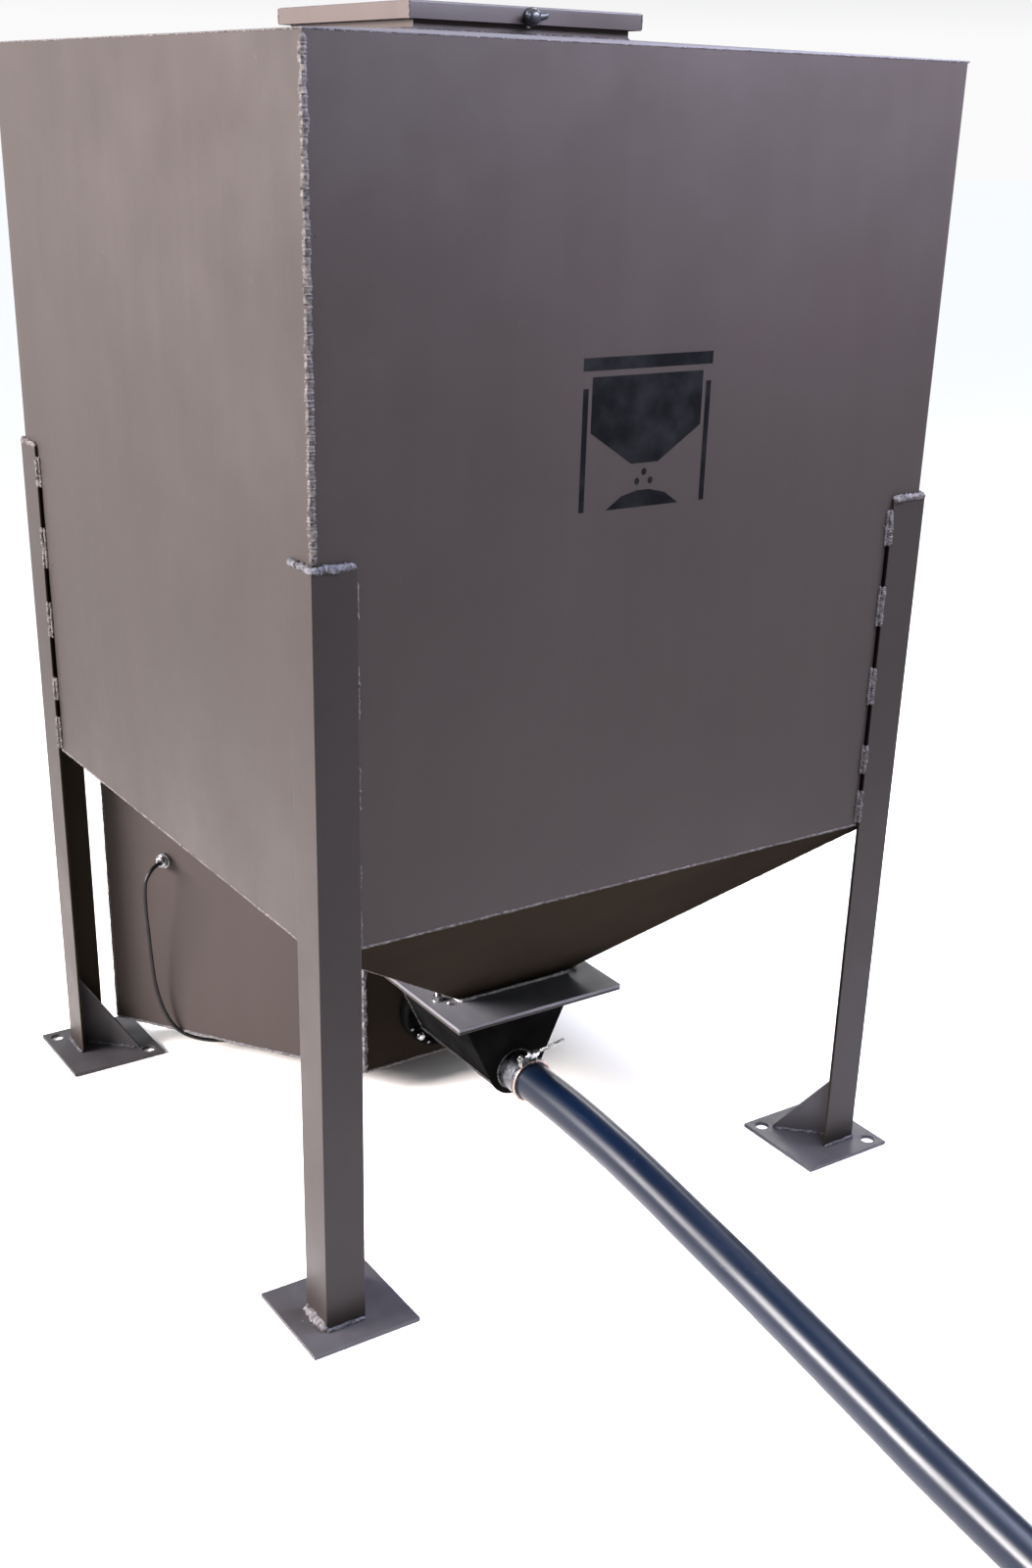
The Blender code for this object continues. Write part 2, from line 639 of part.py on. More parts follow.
def build_housing():
    """The trough, its two end plates and the spigot for the pipe."""
    top = FLANGE_TOP - FLANGE_THICKNESS - HOUSING_FLANGE_THICKNESS - 2 * GAP
    outer = trough_outline(TROUGH_RADIUS, top)
    inner = trough_outline(TROUGH_RADIUS - TROUGH_SHEET, top)
    length = TROUGH_REAR - TROUGH_FRONT
    middle = frame((0, (TROUGH_REAR + TROUGH_FRONT) / 2, 0), *UPRIGHT)
    plate("housing_trough", outer + inner[::-1], length, middle, black_paint("housing_trough"))

    lipped = trough_outline(TROUGH_RADIUS + END_LIP, top)
    axis = (0, AXIS_Z)
    front_y = TROUGH_FRONT - GAP - END_PLATE / 2
    rear_y = TROUGH_REAR + GAP + END_PLATE / 2
    plate("housing_front_plate", lipped, END_PLATE, frame((0, front_y, 0), *UPRIGHT),
          black_paint("housing_front_plate"), [circle(axis, PIPE_RADIUS - 0.003, 32)])
    plate("housing_rear_plate", lipped, END_PLATE, frame((0, rear_y, 0), *UPRIGHT),
          black_paint("housing_rear_plate"), [circle(axis, SCREW_SHAFT_RADIUS + 0.0015, 24)])
    start = front_y - END_PLATE / 2 - GAP
    ring("outlet_spigot", PIPE_RADIUS + GAP, SPIGOT_RADIUS, 0.0, start - SPIGOT_END,
         (0, start, AXIS_Z), (0, -1, 0), steel("outlet_spigot"), 40)


def build_clamp():
    """A T-bolt band clamp around the spigot's end."""
    zinc = steel("clamp_band")
    band_outer = SPIGOT_RADIUS + GAP + 0.0012
    half = CLAMP_WIDTH / 2
    band = ring("clamp_band", SPIGOT_RADIUS + GAP, band_outer, -half, half,
                (0, CLAMP_Y, AXIS_Z), (0, -1, 0), zinc, 40)

    along = Vector((math.cos(CLAMP_BOLT_TILT), 0, math.sin(CLAMP_BOLT_TILT)))
    out = Vector((-math.sin(CLAMP_BOLT_TILT), 0, math.cos(CLAMP_BOLT_TILT)))
    axis = Vector((0, CLAMP_Y, AXIS_Z))
    line = axis + out * CLAMP_BOLT_OFFSET
    for number, place in enumerate((-0.010, 0.010)):
        foot = axis + out * (SPIGOT_RADIUS - GAP / 2) + along * place
        lug = plate("clamp_lug_%d" % number, rectangle(-0.003, 0.0, 0.003, 0.0165), CLAMP_WIDTH,
                    frame(foot, along, out), zinc)
        join(band, lug)
    bore = rod("clamp_bore", line - along * 0.020, line + along * 0.020, CLAMP_BOLT_RADIUS + GAP,
               zinc, 12)
    cut(band, bore)

    bolt_zinc = steel("clamp_bolt")
    bolt = rod("clamp_bolt", line - along * 0.015, line + along * 0.074, CLAMP_BOLT_RADIUS,
               bolt_zinc, 12)
    head = rod("clamp_bolt_head", line - along * 0.0175, line - along * 0.0133, 0.0055, bolt_zinc, 12)
    nut = rod("clamp_bolt_nut", line + along * 0.0133, line + along * 0.0220, 0.0058, bolt_zinc, 6)
    join(bolt, head, nut)


def build_auger():
    """A ribbon flight on a shaft that runs back into the gear housing."""
    zinc = steel("auger")
    shaft = rod("auger", (0, SCREW_FRONT, AXIS_Z), (0, SHAFT_END, AXIS_Z), SCREW_SHAFT_RADIUS, zinc,
                24)
    turns = 3.4
    bm = bmesh.new()
    blade = [bm.verts.new((r, 0, 0)) for r in (SCREW_SHAFT_RADIUS * 0.8, SCREW_RADIUS)]
    bm.edges.new(blade)
    place = Matrix.Translation((0, SCREW_FRONT + 0.004, AXIS_Z)) @ Matrix.Rotation(-math.pi / 2, 4, "X")
    flight = from_mesh("auger_flight", bm, zinc, place)
    screw = flight.modifiers.new("flight", "SCREW")
    screw.angle = 2 * math.pi * turns
    screw.screw_offset = SCREW_PITCH * turns
    screw.steps = screw.render_steps = round(20 * turns)
    thicken(flight, 0.003, 0.0)
    join(shaft, flight)
    set_origin(shaft, (0, 0, AXIS_Z))


def build_drive():
    """The round gear housing on the trough's rear end, and the motor behind it."""
    depth = GEAR_REAR - GEAR_FRONT
    bore = SCREW_SHAFT_RADIUS + 0.0006
    profile = [(0, depth - 0.018), (bore, depth - 0.018), (bore, depth), (GEAR_RADIUS - 0.005, depth),
               (GEAR_RADIUS, depth - 0.005), (GEAR_RADIUS, 0.004), (GEAR_RADIUS - 0.004, 0), (0, 0)]
    turned("gear_housing", profile, (0, GEAR_REAR, AXIS_Z), (0, -1, 0), black_paint("gear_housing"), 40)
    for side, name in ((LEFT, "gear_bolt_left"), (RIGHT, "gear_bolt_right")):
        x = side * GEAR_BOLT_CIRCLE * math.cos(math.pi / 4)
        z = AXIS_Z - GEAR_BOLT_CIRCLE * math.sin(math.pi / 4)
        rod(name, (x, GEAR_FRONT - GAP, z), (x, GEAR_FRONT - 0.0065, z), 0.0070, steel(name), 6)
    length = MOTOR_REAR - GEAR_REAR - GAP
    profile = [(0, length), (0.012, length), (0.012, length - 0.004),
               (MOTOR_RADIUS - 0.004, length - 0.004),
               (MOTOR_RADIUS, length - 0.008), (MOTOR_RADIUS, 0), (0, 0)]
    turned("drive_motor", profile, (0, GEAR_REAR + GAP, AXIS_Z), (0, 1, 0),
           black_paint("drive_motor"), 32)


# Battery and control box --------------------------------------------------
def left_panel_axes():
    """The box's front left corner, the way along its left panel, and the way out of it."""
    corner = Vector((-BOX_FRONT_HALF, BOX_FRONT_Y, 0))
    along = (Vector((-BOX_REAR_HALF, BOX_REAR_Y, 0)) - corner).normalized()
    return corner, along, Vector((-along.y, along.x, 0))


def build_box(funnel_planes):
    """Two upright sheets that narrow to the front under the rear slope, a floor and a rear frame."""
    top = 0.610
    height = top - BOX_BOTTOM
    level = frame((0, 0, BOX_BOTTOM + height / 2), *FLAT)
    corner, along, outward = left_panel_axes()
    rear = corner + along * (BOX_REAR_Y - BOX_FRONT_Y) / along.y
    slant = SHEET / abs(along.y)
    outline = [corner.to_2d(), rear.to_2d(), rear.to_2d() + Vector((slant, 0)),
               corner.to_2d() + Vector((slant, 0))]
    left = plate("box_left_panel", outline, height, level, paint("box_left_panel"))
    start = (-BOX_FRONT_HALF + slant + GAP, BOX_FRONT_Y)
    square_end = rear - along * SHEET
    outline = bent_band(start, (BOX_FRONT_HALF, BOX_FRONT_Y), (-square_end.x, square_end.y), SHEET,
                        0.005)
    sheet = plate("box_front_sheet", outline, height, level, paint("box_front_sheet"))

    slope = funnel_planes["funnel_rear"]
    above = block("rear_slope_space", (-0.3, -0.4, -0.15), (1.3, 0.8, 0.15), left.active_material)
    outward_is_up = 1 if (slope.to_3x3() @ Vector((0, 0, 1))).z > 0 else -1
    lift = 0.15 - SHEET / 2 - 0.0004
    above.matrix_world = slope @ Matrix.Translation((0.5, 0.2, outward_is_up * lift))
    motor_space = rod("motor_space", (0, 0, AXIS_Z), (0, 0.1, AXIS_Z), MOTOR_RADIUS + 0.001,
                      left.active_material, 32)
    gland_place = corner + along * GLAND_ALONG + Vector((0, 0, GLAND_Z))
    gland_hole = rod("gland_hole", gland_place - outward * 0.01, gland_place + outward * 0.01,
                     0.0084, left.active_material)
    cut(left, above, gland_hole)
    cut(sheet, above, motor_space)

    inset = slant + GAP
    floor_front = BOX_FRONT_Y + SHEET + GAP
    shift = (floor_front - BOX_FRONT_Y) * (BOX_REAR_HALF - BOX_FRONT_HALF) / (BOX_REAR_Y - BOX_FRONT_Y)
    front_half = BOX_FRONT_HALF + shift - inset - 0.003
    rear_half = BOX_REAR_HALF - inset - 0.0006
    outline = [(-front_half, floor_front), (front_half, floor_front),
               (rear_half, BOX_REAR_Y - GAP), (-rear_half, BOX_REAR_Y - GAP)]
    grommet = grommet_place()
    plate("box_floor", outline, SHEET, frame((0, 0, BOX_BOTTOM + SHEET / 2), *FLAT),
          paint("box_floor"), [circle(grommet.to_2d(), 0.0078)])

    frame_y = BOX_REAR_Y + GAP + SHEET / 2
    plate("box_rear_frame", rectangle(-BOX_REAR_HALF, BOX_BOTTOM, BOX_REAR_HALF, FRAME_TOP), SHEET,
          frame((0, frame_y, 0), *UPRIGHT), paint("box_rear_frame"),
          [rectangle(-DOORWAY_HALF, DOORWAY_BOTTOM, DOORWAY_HALF, DOORWAY_TOP)])


def build_door():
    frame_face = BOX_REAR_Y + GAP + SHEET
    low_y = frame_face + GAP
    door = pan("box_door", (-DOORWAY_HALF - DOOR_LAP, low_y, DOORWAY_BOTTOM - DOOR_LAP),
               (DOORWAY_HALF + DOOR_LAP, low_y + DOOR_DEPTH, DOORWAY_TOP + DOOR_LAP),
               (0, -1, 0), LID_SHEET, paint("box_door"), 0.0025)
    outside = low_y + DOOR_DEPTH
    latch_at = Vector((DOOR_LATCH_X, outside, DOOR_LATCH_Z))
    hole = rod("door_latch_hole", latch_at - Vector((0, 0.02, 0)), latch_at + Vector((0, 0.01, 0)),
               0.0045, door.active_material)
    cut(door, hole)
    set_origin(door, (DOOR_AXIS_X, DOOR_AXIS_Y, DOOR_LATCH_Z))

    zinc = steel("door_latch")
    latch = turned("door_latch", [(0, 0.0062), (0.0110, 0.0062), (0.0130, 0.0042), (0.0130, GAP),
                                  (0, GAP)], latch_at, (0, 1, 0), zinc, 24)
    wing = block("door_latch_wing", latch_at + Vector((-0.022, 0.005, -0.0045)),
                 latch_at + Vector((0.022, 0.018, 0.0045)), zinc, 0.002)
    pawl_y = BOX_REAR_Y - 0.0016
    shaft = rod("door_latch_shaft", (DOOR_LATCH_X, pawl_y - 0.002, DOOR_LATCH_Z),
                latch_at + Vector((0, 0.002, 0)), 0.0040, zinc)
    outline = arc((0, 0), 0.0075, math.radians(-40), math.radians(220), 12)
    outline += [(-0.0045, -0.032), (0.0045, -0.032)]
    pawl = plate("door_latch_pawl", outline, 0.0020,
                 frame((DOOR_LATCH_X, pawl_y, DOOR_LATCH_Z), *UPRIGHT), zinc)
    join(latch, wing, shaft, pawl)

    half = 0.150
    middle = (DOORWAY_BOTTOM + DOORWAY_TOP) / 2
    build_hinge("door", (DOOR_AXIS_X, DOOR_AXIS_Y, middle), (0, 0, 1), 2 * half,
                Vector((DOOR_AXIS_X, low_y + 0.001, middle)),
                ((DOOR_AXIS_X - 0.028, low_y, middle - half),
                 (DOOR_AXIS_X + 0.002, low_y + 0.002, middle + half)),
                ((DOOR_AXIS_X + 0.0035, DOOR_AXIS_Y - 0.003, middle - half / 3 + 0.001),
                 (-DOORWAY_HALF - DOOR_LAP - GAP, outside, middle + half / 3 - 0.001)))


def build_battery():
    floor = BOX_BOTTOM + SHEET + GAP
    low, high = Vector((0.00, 0.230, floor)), Vector((0.195, 0.360, floor + 0.155))
    block("battery", low, high, material("battery_case", (0.03, 0.03, 0.035), 0.55), 0.003)
    terminals = (("battery_terminal_positive", 0.165, (0.55, 0.03, 0.02)),
                 ("battery_terminal_negative", 0.030, (0.02, 0.02, 0.02)))
    for name, x, colour in terminals:
        turned(name, [(0, 0.014), (0.007, 0.014), (0.0085, 0.0), (0, 0.0)], (x, 0.260, high.z + GAP),
               (0, 0, 1), material(name + "_cap", colour, 0.4), 20)


def build_controller():
    """The timer unit on the inside of the front sheet, with a rocker and a test button."""
    back = BOX_FRONT_Y + SHEET + GAP
    face = back + 0.048
    block("controller", (-0.080, back, 0.208), (0.080, face, 0.312),
          material("controller_case", (0.25, 0.26, 0.27), 0.5), 0.004)
    pivot = Vector((-0.045, face + 0.0028, 0.262))
    red = material("power_rocker_plastic", (0.50, 0.03, 0.02), 0.35)
    rocker = block("power_rocker", pivot + Vector((-0.010, 0.0002, -0.013)),
                   pivot + Vector((0.010, 0.0042, 0.013)), red, 0.001)
    join(rocker, rod("rocker_pivot", pivot - Vector((0.0075, 0, 0)), pivot + Vector((0.0075, 0, 0)),
                     0.0023, red, 16))
    set_origin(rocker, pivot)
    turned("test_button", [(0, 0.0080), (0.0070, 0.0080), (0.0080, 0.0070), (0.0080, 0.0), (0, 0.0)],
           (0.045, face + 0.0034, 0.262), (0, 1, 0), material("test_button_plastic", (0.02, 0.25, 0.06), 0.35),
           24)


# Cable and pipe -----------------------------------------------------------
def grommet_place():
    corner, along, outward = left_panel_axes()
    return corner + along * GROMMET_ALONG - outward * GROMMET_INWARD


def build_cable():
    """A gland in the left panel, a grommet in the floor, and the cable between them."""
    corner, along, outward = left_panel_axes()
    zinc = steel("cable_gland")
    bore = CABLE_RADIUS + 0.0005
    place = corner + along * GLAND_ALONG + Vector((0, 0, GLAND_Z))
    profile = [(bore, 0.018), (0.0095, 0.018), (0.0115, 0.015), (0.0115, 0.008), (0.0135, 0.008),
               (0.0135, GAP), (0.0080, GAP), (0.0080, -SHEET - GAP), (0.0120, -SHEET - GAP),
               (0.0120, -0.0065), (0.0080, -0.0065), (0.0080, -0.010), (bore, -0.010)]
    turned("cable_gland", profile, place, outward, zinc, 24, closed=True)

    floor_place = grommet_place() + Vector((0, 0, BOX_BOTTOM))
    profile = [(bore, 0.0050), (0.0100, 0.0050), (0.0100, SHEET + GAP), (0.0074, SHEET + GAP),
               (0.0074, -GAP), (0.0100, -GAP), (0.0100, -0.0030), (bore, -0.0030)]
    turned("floor_grommet", profile, floor_place, (0, 0, 1),
           material("floor_grommet_rubber", (0.01, 0.01, 0.01), 0.8), 24, closed=True)

    points = [place + outward * 0.006, place + outward * 0.018]
    points += [corner + along * a + outward * o + Vector((0, 0, z)) for a, o, z in CABLE_FREE_POINTS]
    points += [floor_place + Vector((0, 0, -0.0080)), floor_place + Vector((0, 0, 0.0040))]
    tube("motor_cable", points, 0.012, CABLE_RADIUS,
         material("motor_cable_jacket", (0.012, 0.012, 0.012), 0.5))


def build_pipe():
    black = material("outlet_pipe_polyethylene", (0.015, 0.016, 0.018), 0.28)
    tube("outlet_pipe", PIPE_POINTS, 0.060, PIPE_RADIUS, black)
    end = Vector(PIPE_POINTS[-1])
    ring("pipe_coupling", PIPE_RADIUS + GAP, COUPLING_RADIUS, -COUPLING_LENGTH / 2,
         COUPLING_LENGTH / 2, end, (0, -1, 0), black_plastic("pipe_coupling"), 40)


clear_scene()
parts = new_collection("gravity_game_feeder")
cutters = new_collection("cutters")

build_walls()
build_roof()
funnel_planes = build_funnel()
build_fill_opening()
build_lid_latch()
build_lid_hinge()
for leg_side in (LEFT, RIGHT):
    for leg_end in (FRONT, REAR):
        build_leg(leg_side, leg_end)
build_flanges()
build_housing()
build_clamp()
build_auger()
build_drive()
build_box(funnel_planes)
build_door()
build_battery()
build_controller()
build_cable()
build_pipe()
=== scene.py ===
"""Looks of the gravity game feeder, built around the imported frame. Metres, +Z up.

Small turned and cast parts are drawn in millimetres, in frames of their own.
"""
import json
import random
from math import atan, cos, exp, pi, radians, sin, sqrt, tau

import bmesh
import bpy
from mathutils import Matrix, Vector, noise


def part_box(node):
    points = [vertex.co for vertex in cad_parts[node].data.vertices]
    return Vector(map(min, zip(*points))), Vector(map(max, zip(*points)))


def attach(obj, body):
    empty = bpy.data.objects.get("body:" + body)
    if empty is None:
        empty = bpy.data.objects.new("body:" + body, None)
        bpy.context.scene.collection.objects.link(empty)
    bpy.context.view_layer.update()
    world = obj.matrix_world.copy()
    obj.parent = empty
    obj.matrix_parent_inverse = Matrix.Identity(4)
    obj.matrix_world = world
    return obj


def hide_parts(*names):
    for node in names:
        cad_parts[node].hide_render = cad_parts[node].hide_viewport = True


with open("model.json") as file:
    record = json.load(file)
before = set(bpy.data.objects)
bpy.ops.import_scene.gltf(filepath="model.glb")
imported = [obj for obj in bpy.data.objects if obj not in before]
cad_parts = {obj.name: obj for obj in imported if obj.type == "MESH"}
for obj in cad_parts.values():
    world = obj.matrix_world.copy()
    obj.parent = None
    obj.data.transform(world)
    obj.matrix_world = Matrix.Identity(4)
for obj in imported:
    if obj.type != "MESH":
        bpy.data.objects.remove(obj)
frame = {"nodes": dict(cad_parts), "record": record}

noise.seed_set(7)        # or noise_vector would start from the clock
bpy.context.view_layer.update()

MM = 0.001
UP = Vector((0, 0, 1))
SHEET = 0.002            # thickness of the hopper's walls
FOOT_TOP = 0.0064        # upper face of a foot plate
SIGN_X, SIGN_Z = -0.014, 1.248
# The legs and the flange bolts: name, and side in X and in Y
CORNERS = (("front_left", -1, -1), ("front_right", 1, -1), ("rear_left", -1, 1), ("rear_right", 1, 1))

# Bodies and slots
STAND, LID, LID_LATCH = "stand", "lid_body", "lid_latch_body"
DOOR, DOOR_LATCH = "door_body", "door_latch_body"
PAINT, BLACK, ZINC = "taupe_paint", "black_paint", "zinc_steel"

# The view, as the object stands before a person's eyes
CAMERA_AT = (-1.472, -2.386, 1.629)
CAMERA_AZIMUTH, CAMERA_ELEVATION, CAMERA_ROLL = radians(-33.91), radians(23.2), radians(1.48)
CAMERA_LENS = 40.74
CAMERA_SHIFT = (0.0028, 0.0569)

# Places from the frame
WALL_LOW, WALL_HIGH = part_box("wall_sheet_front_right")
HALF = WALL_HIGH.x
WALL_BOTTOM, WALL_TOP = WALL_LOW.z, WALL_HIGH.z
LEG_LOW, LEG_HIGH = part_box("leg_front_right")
LEG_OUTER, LEG_TOP = LEG_HIGH.x, LEG_HIGH.z
TOE = LEG_LOW.x
LID_LOW, LID_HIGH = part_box("lid")
FLANGE_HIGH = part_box("outlet_flange")[1]
TROUGH_LOW, TROUGH_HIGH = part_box("housing_trough")
SPIGOT_LOW, SPIGOT_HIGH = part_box("outlet_spigot")
GEAR_LOW, GEAR_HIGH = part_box("gear_housing")
MOTOR_LOW, MOTOR_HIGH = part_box("drive_motor")
PANEL_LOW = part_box("box_left_panel")[0]
REAR_FRAME_LOW, REAR_FRAME_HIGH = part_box("box_rear_frame")
DOOR_LOW, DOOR_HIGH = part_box("box_door")
AXIS_Z = (SPIGOT_LOW.z + SPIGOT_HIGH.z) / 2
OPENING_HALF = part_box("funnel_right")[0].x

# The cords' routes, the same as their solids'
CABLE_DIAMETER, CABLE_LENGTH = 0.007, 0.592
PIPE_DIAMETER, PIPE_LENGTH = 0.065, 1.47
BOX_FRONT_CORNER = Vector((-0.1392, 0.0508, 0))
PANEL_ALONG = (Vector((-0.4318, 0.4755, 0)) - BOX_FRONT_CORNER).normalized()
PANEL_OUT = Vector((-PANEL_ALONG.y, PANEL_ALONG.x, 0))
GLAND_PLACE = BOX_FRONT_CORNER + PANEL_ALONG * 0.392 + UP * 0.3906
GROMMET_PLACE = BOX_FRONT_CORNER + PANEL_ALONG * 0.268 - PANEL_OUT * 0.118 + UP * 0.0508
CABLE_FREE_POINTS = (
    (0.3922, 0.0240, 0.3905), (0.3945, 0.0378, 0.3864), (0.3980, 0.0488, 0.3752),
    (0.4015, 0.0530, 0.3596), (0.4050, 0.0505, 0.3300), (0.4085, 0.0445, 0.2950),
    (0.4110, 0.0370, 0.2500), (0.4130, 0.0300, 0.2000), (0.4125, 0.0240, 0.1520),
    (0.4070, 0.0185, 0.1120), (0.3965, 0.0130, 0.0790), (0.3810, 0.0060, 0.0545),
    (0.3600, -0.0040, 0.0400), (0.3350, -0.0220, 0.0290), (0.3127, -0.0517, 0.0180),
    (0.2987, -0.0724, 0.0125), (0.2859, -0.0915, 0.0100), (0.2769, -0.1047, 0.0143),
    (0.2704, -0.1144, 0.0260),
)
PIPE_POINTS = (
    (0.0000, -0.235, 0.1510), (0.0000, -0.290, 0.1512), (0.0000, -0.360, 0.1508),
    (0.0000, -0.438, 0.1470), (-0.0005, -0.532, 0.1400), (-0.0015, -0.620, 0.1305),
    (-0.0030, -0.702, 0.1210), (-0.0045, -0.780, 0.1120), (-0.0065, -0.860, 0.1030),
    (-0.0090, -0.935, 0.0945), (-0.0110, -1.003, 0.0865), (-0.0130, -1.070, 0.0785),
    (-0.0150, -1.136, 0.0705), (-0.0165, -1.200, 0.0620), (-0.0180, -1.260, 0.0560),
    (-0.0195, -1.345, 0.0475), (-0.0210, -1.430, 0.0410), (-0.0220, -1.520, 0.0395),
    (-0.0230, -1.700, 0.0395),
)


# Camera, light and floor
def finished(name, bm):
    mesh = bpy.data.meshes.new(name)
    bm.to_mesh(mesh)
    bm.free()
    return mesh


def link(name, data):
    obj = bpy.data.objects.new(name, data)
    bpy.context.scene.collection.objects.link(obj)
    return obj


def view_axes(azimuth, elevation, roll):
    """The camera's right, up and back directions."""
    back = Vector((sin(azimuth) * cos(elevation), -cos(azimuth) * cos(elevation), sin(elevation)))
    right = Vector((cos(azimuth), sin(azimuth), 0))
    up = back.cross(right)
    return right * cos(roll) + up * sin(roll), up * cos(roll) - right * sin(roll), back


def build_camera():
    camera = link("camera", bpy.data.cameras.new("camera"))
    axes = Matrix(view_axes(CAMERA_AZIMUTH, CAMERA_ELEVATION, CAMERA_ROLL)).transposed()
    camera.matrix_world = Matrix.Translation(CAMERA_AT) @ axes.to_4x4()
    camera.data.lens = CAMERA_LENS
    camera.data.sensor_fit = "AUTO"
    camera.data.sensor_width = 36
    camera.data.shift_x, camera.data.shift_y = CAMERA_SHIFT
    camera.data.clip_end = 200
    bpy.context.scene.camera = camera


def area_light(name, place, target, size, power, colour, spread=180):
    light = bpy.data.lights.new(name, "AREA")
    light.shape, light.size, light.size_y = "RECTANGLE", size[0], size[1]
    light.energy, light.color, light.spread = power, colour, radians(spread)
    obj = link(name, light)
    away = Vector(place) - Vector(target)
    obj.matrix_world = Matrix.Translation(place) @ away.to_track_quat("Z", "Y").to_matrix().to_4x4()
    obj.visible_camera = False


def build_studio():
    """A pale floor without an edge, a soft sky and three soft boxes."""
    bpy.context.scene.view_settings.view_transform = "Standard"
    world = bpy.data.worlds.new("studio")
    bpy.context.scene.world = world
    world.use_nodes = True
    nodes, links = world.node_tree.nodes, world.node_tree.links
    direction = nodes.new("ShaderNodeTexCoord")
    split = nodes.new("ShaderNodeSeparateXYZ")
    ramp = nodes.new("ShaderNodeValToRGB")
    elements = ramp.color_ramp.elements
    elements[0].position, elements[0].color = 0.04, (0.6, 0.6, 0.6, 1)
    elements[1].position, elements[1].color = 0.75, (0.86, 0.94, 1, 1)
    for position, colour in ((0.16, (0.24, 0.25, 0.26, 1)), (0.5, (0.28, 0.3, 0.32, 1))):
        elements.new(position).color = colour
    links.new(direction.outputs["Generated"], split.inputs[0])
    links.new(split.outputs["Z"], ramp.inputs["Fac"])
    links.new(ramp.outputs["Color"], nodes["Background"].inputs["Color"])
    nodes["Background"].inputs["Strength"].default_value = 1.6

    bm = bmesh.new()
    bmesh.ops.create_circle(bm, cap_ends=True, segments=64, radius=60)
    mesh = finished("floor", bm)
    mesh.materials.append(Surface("pale_floor", Base_Color=(0.95, 0.9, 0.87, 1), Roughness=0.95).mat)
    floor = link("floor", mesh)
    floor.location.z = -0.0004

    area_light("key", (-4.4, 1.2, 2.7), (-0.5, 0, 1.95), (2.4, 2.4), 470, (1, 0.953, 0.945), 74)
    area_light("front", (0.5, -1.08, 2.3), (0.3, -0.5, 1.5), (1.6, 0.45), 185, (0.72, 0.77, 1))
    area_light("back", (3.6, 3.6, 3.2), (0, 0, 1), (2.4, 2.4), 48, (1, 0.98, 0.96), 90)


# Materials
class Surface:
    """A Principled material that gets its colour, roughness and bump from object coordinates."""

    def __init__(self, name, **sockets):
        self.mat = bpy.data.materials.new(name)
        self.mat.use_nodes = True
        self.nodes, self.links = self.mat.node_tree.nodes, self.mat.node_tree.links
        self.shader = self.nodes["Principled BSDF"]
        for socket, value in sockets.items():
            self.shader.inputs[socket.replace("_", " ")].default_value = value
        self.place = self.nodes.new("ShaderNodeTexCoord").outputs["Object"]
        self.normal = None

    def node(self, kind, **sockets):
        node = self.nodes.new("ShaderNode" + kind)
        for socket, value in sockets.items():
            node.inputs[socket].default_value = value
        return node

    def noise(self, scale, detail=3, stretch=(1, 1, 1)):
        mapping = self.node("Mapping", Scale=stretch)
        self.links.new(self.place, mapping.inputs["Vector"])
        node = self.node("TexNoise", Scale=scale, Detail=detail, Roughness=0.55)
        self.links.new(mapping.outputs["Vector"], node.inputs["Vector"])
        return node.outputs["Fac"]

    def ramp(self, cloud, *stops):
        """Noise through two stops of (position, colour or grey)."""
        node = self.node("ValToRGB")
        for element, (position, colour) in zip(node.color_ramp.elements, stops):
            element.position = position
            element.color = (*colour, 1) if isinstance(colour, tuple) else (colour, colour, colour, 1)
        self.links.new(self.noise(*cloud), node.inputs["Fac"])
        return node.outputs["Color"]

    def mix(self, kind, factor, first, second):
        node = self.node("Mix")
        node.data_type, node.blend_type = "RGBA", kind
        for name, value in (("Factor", factor), ("A", first), ("B", second)):
            if isinstance(value, float):
                node.inputs[name].default_value = value
            elif isinstance(value, tuple):
                node.inputs[name].default_value = (*value, 1)
            else:
                self.links.new(value, node.inputs[name])
        return node.outputs["Result"]

    def set(self, socket, output):
        self.links.new(output, self.shader.inputs[socket])

    def bump(self, cloud, depth):
        """Noise as relief, on top of any bump before it."""
        node = self.node("Bump", Distance=depth)
        self.links.new(self.noise(*cloud), node.inputs["Height"])
        if self.normal is not None:
            self.links.new(self.normal, node.inputs["Normal"])
        self.normal = node.outputs["Normal"]
        self.set("Normal", self.normal)


def times(colour, factor):
    return tuple(c * factor for c in colour)


def paint_material(name, base, light):
    """Satin metallic enamel: soft clouding, orange peel, a few pale specks and faint vertical runs."""
    s = Surface(name, Metallic=0.15, Specular_IOR_Level=0.13, Coat_Weight=0.02, Coat_Roughness=0.3)
    clouds = s.ramp((2.2, 4), (0.3, base), (0.7, light))
    streaks = s.ramp((34, 3, (1, 1, 0.06)), (0.35, 0.93), (0.65, 1.05))
    flakes = s.ramp((1500, 1), (0.35, 0.86), (0.65, 1.16))
    specks = s.ramp((95, 2), (0.775, 0), (0.8, 1))
    colour = s.mix("MULTIPLY", 0.45, s.mix("MULTIPLY", 0.3, clouds, streaks), flakes)
    s.set("Base Color", s.mix("MIX", specks, colour, times(light, 1.7)))
    s.set("Roughness", s.ramp((6, 5), (0.3, 0.34), (0.7, 0.47)))
    s.bump((420, 2), 0.00006)
    s.bump((38, 2), 0.00012)
    return s.mat


def mottled_material(name, tone, gloss, grain, depth, **sockets):
    """A coat with soft patches: tone and gloss are a noise and two stops, grain is the bump's noise."""
    s = Surface(name, **sockets)
    s.set("Base Color", s.ramp(*tone))
    if gloss:
        s.set("Roughness", s.ramp(*gloss))
    s.bump(grain, depth)
    return s.mat


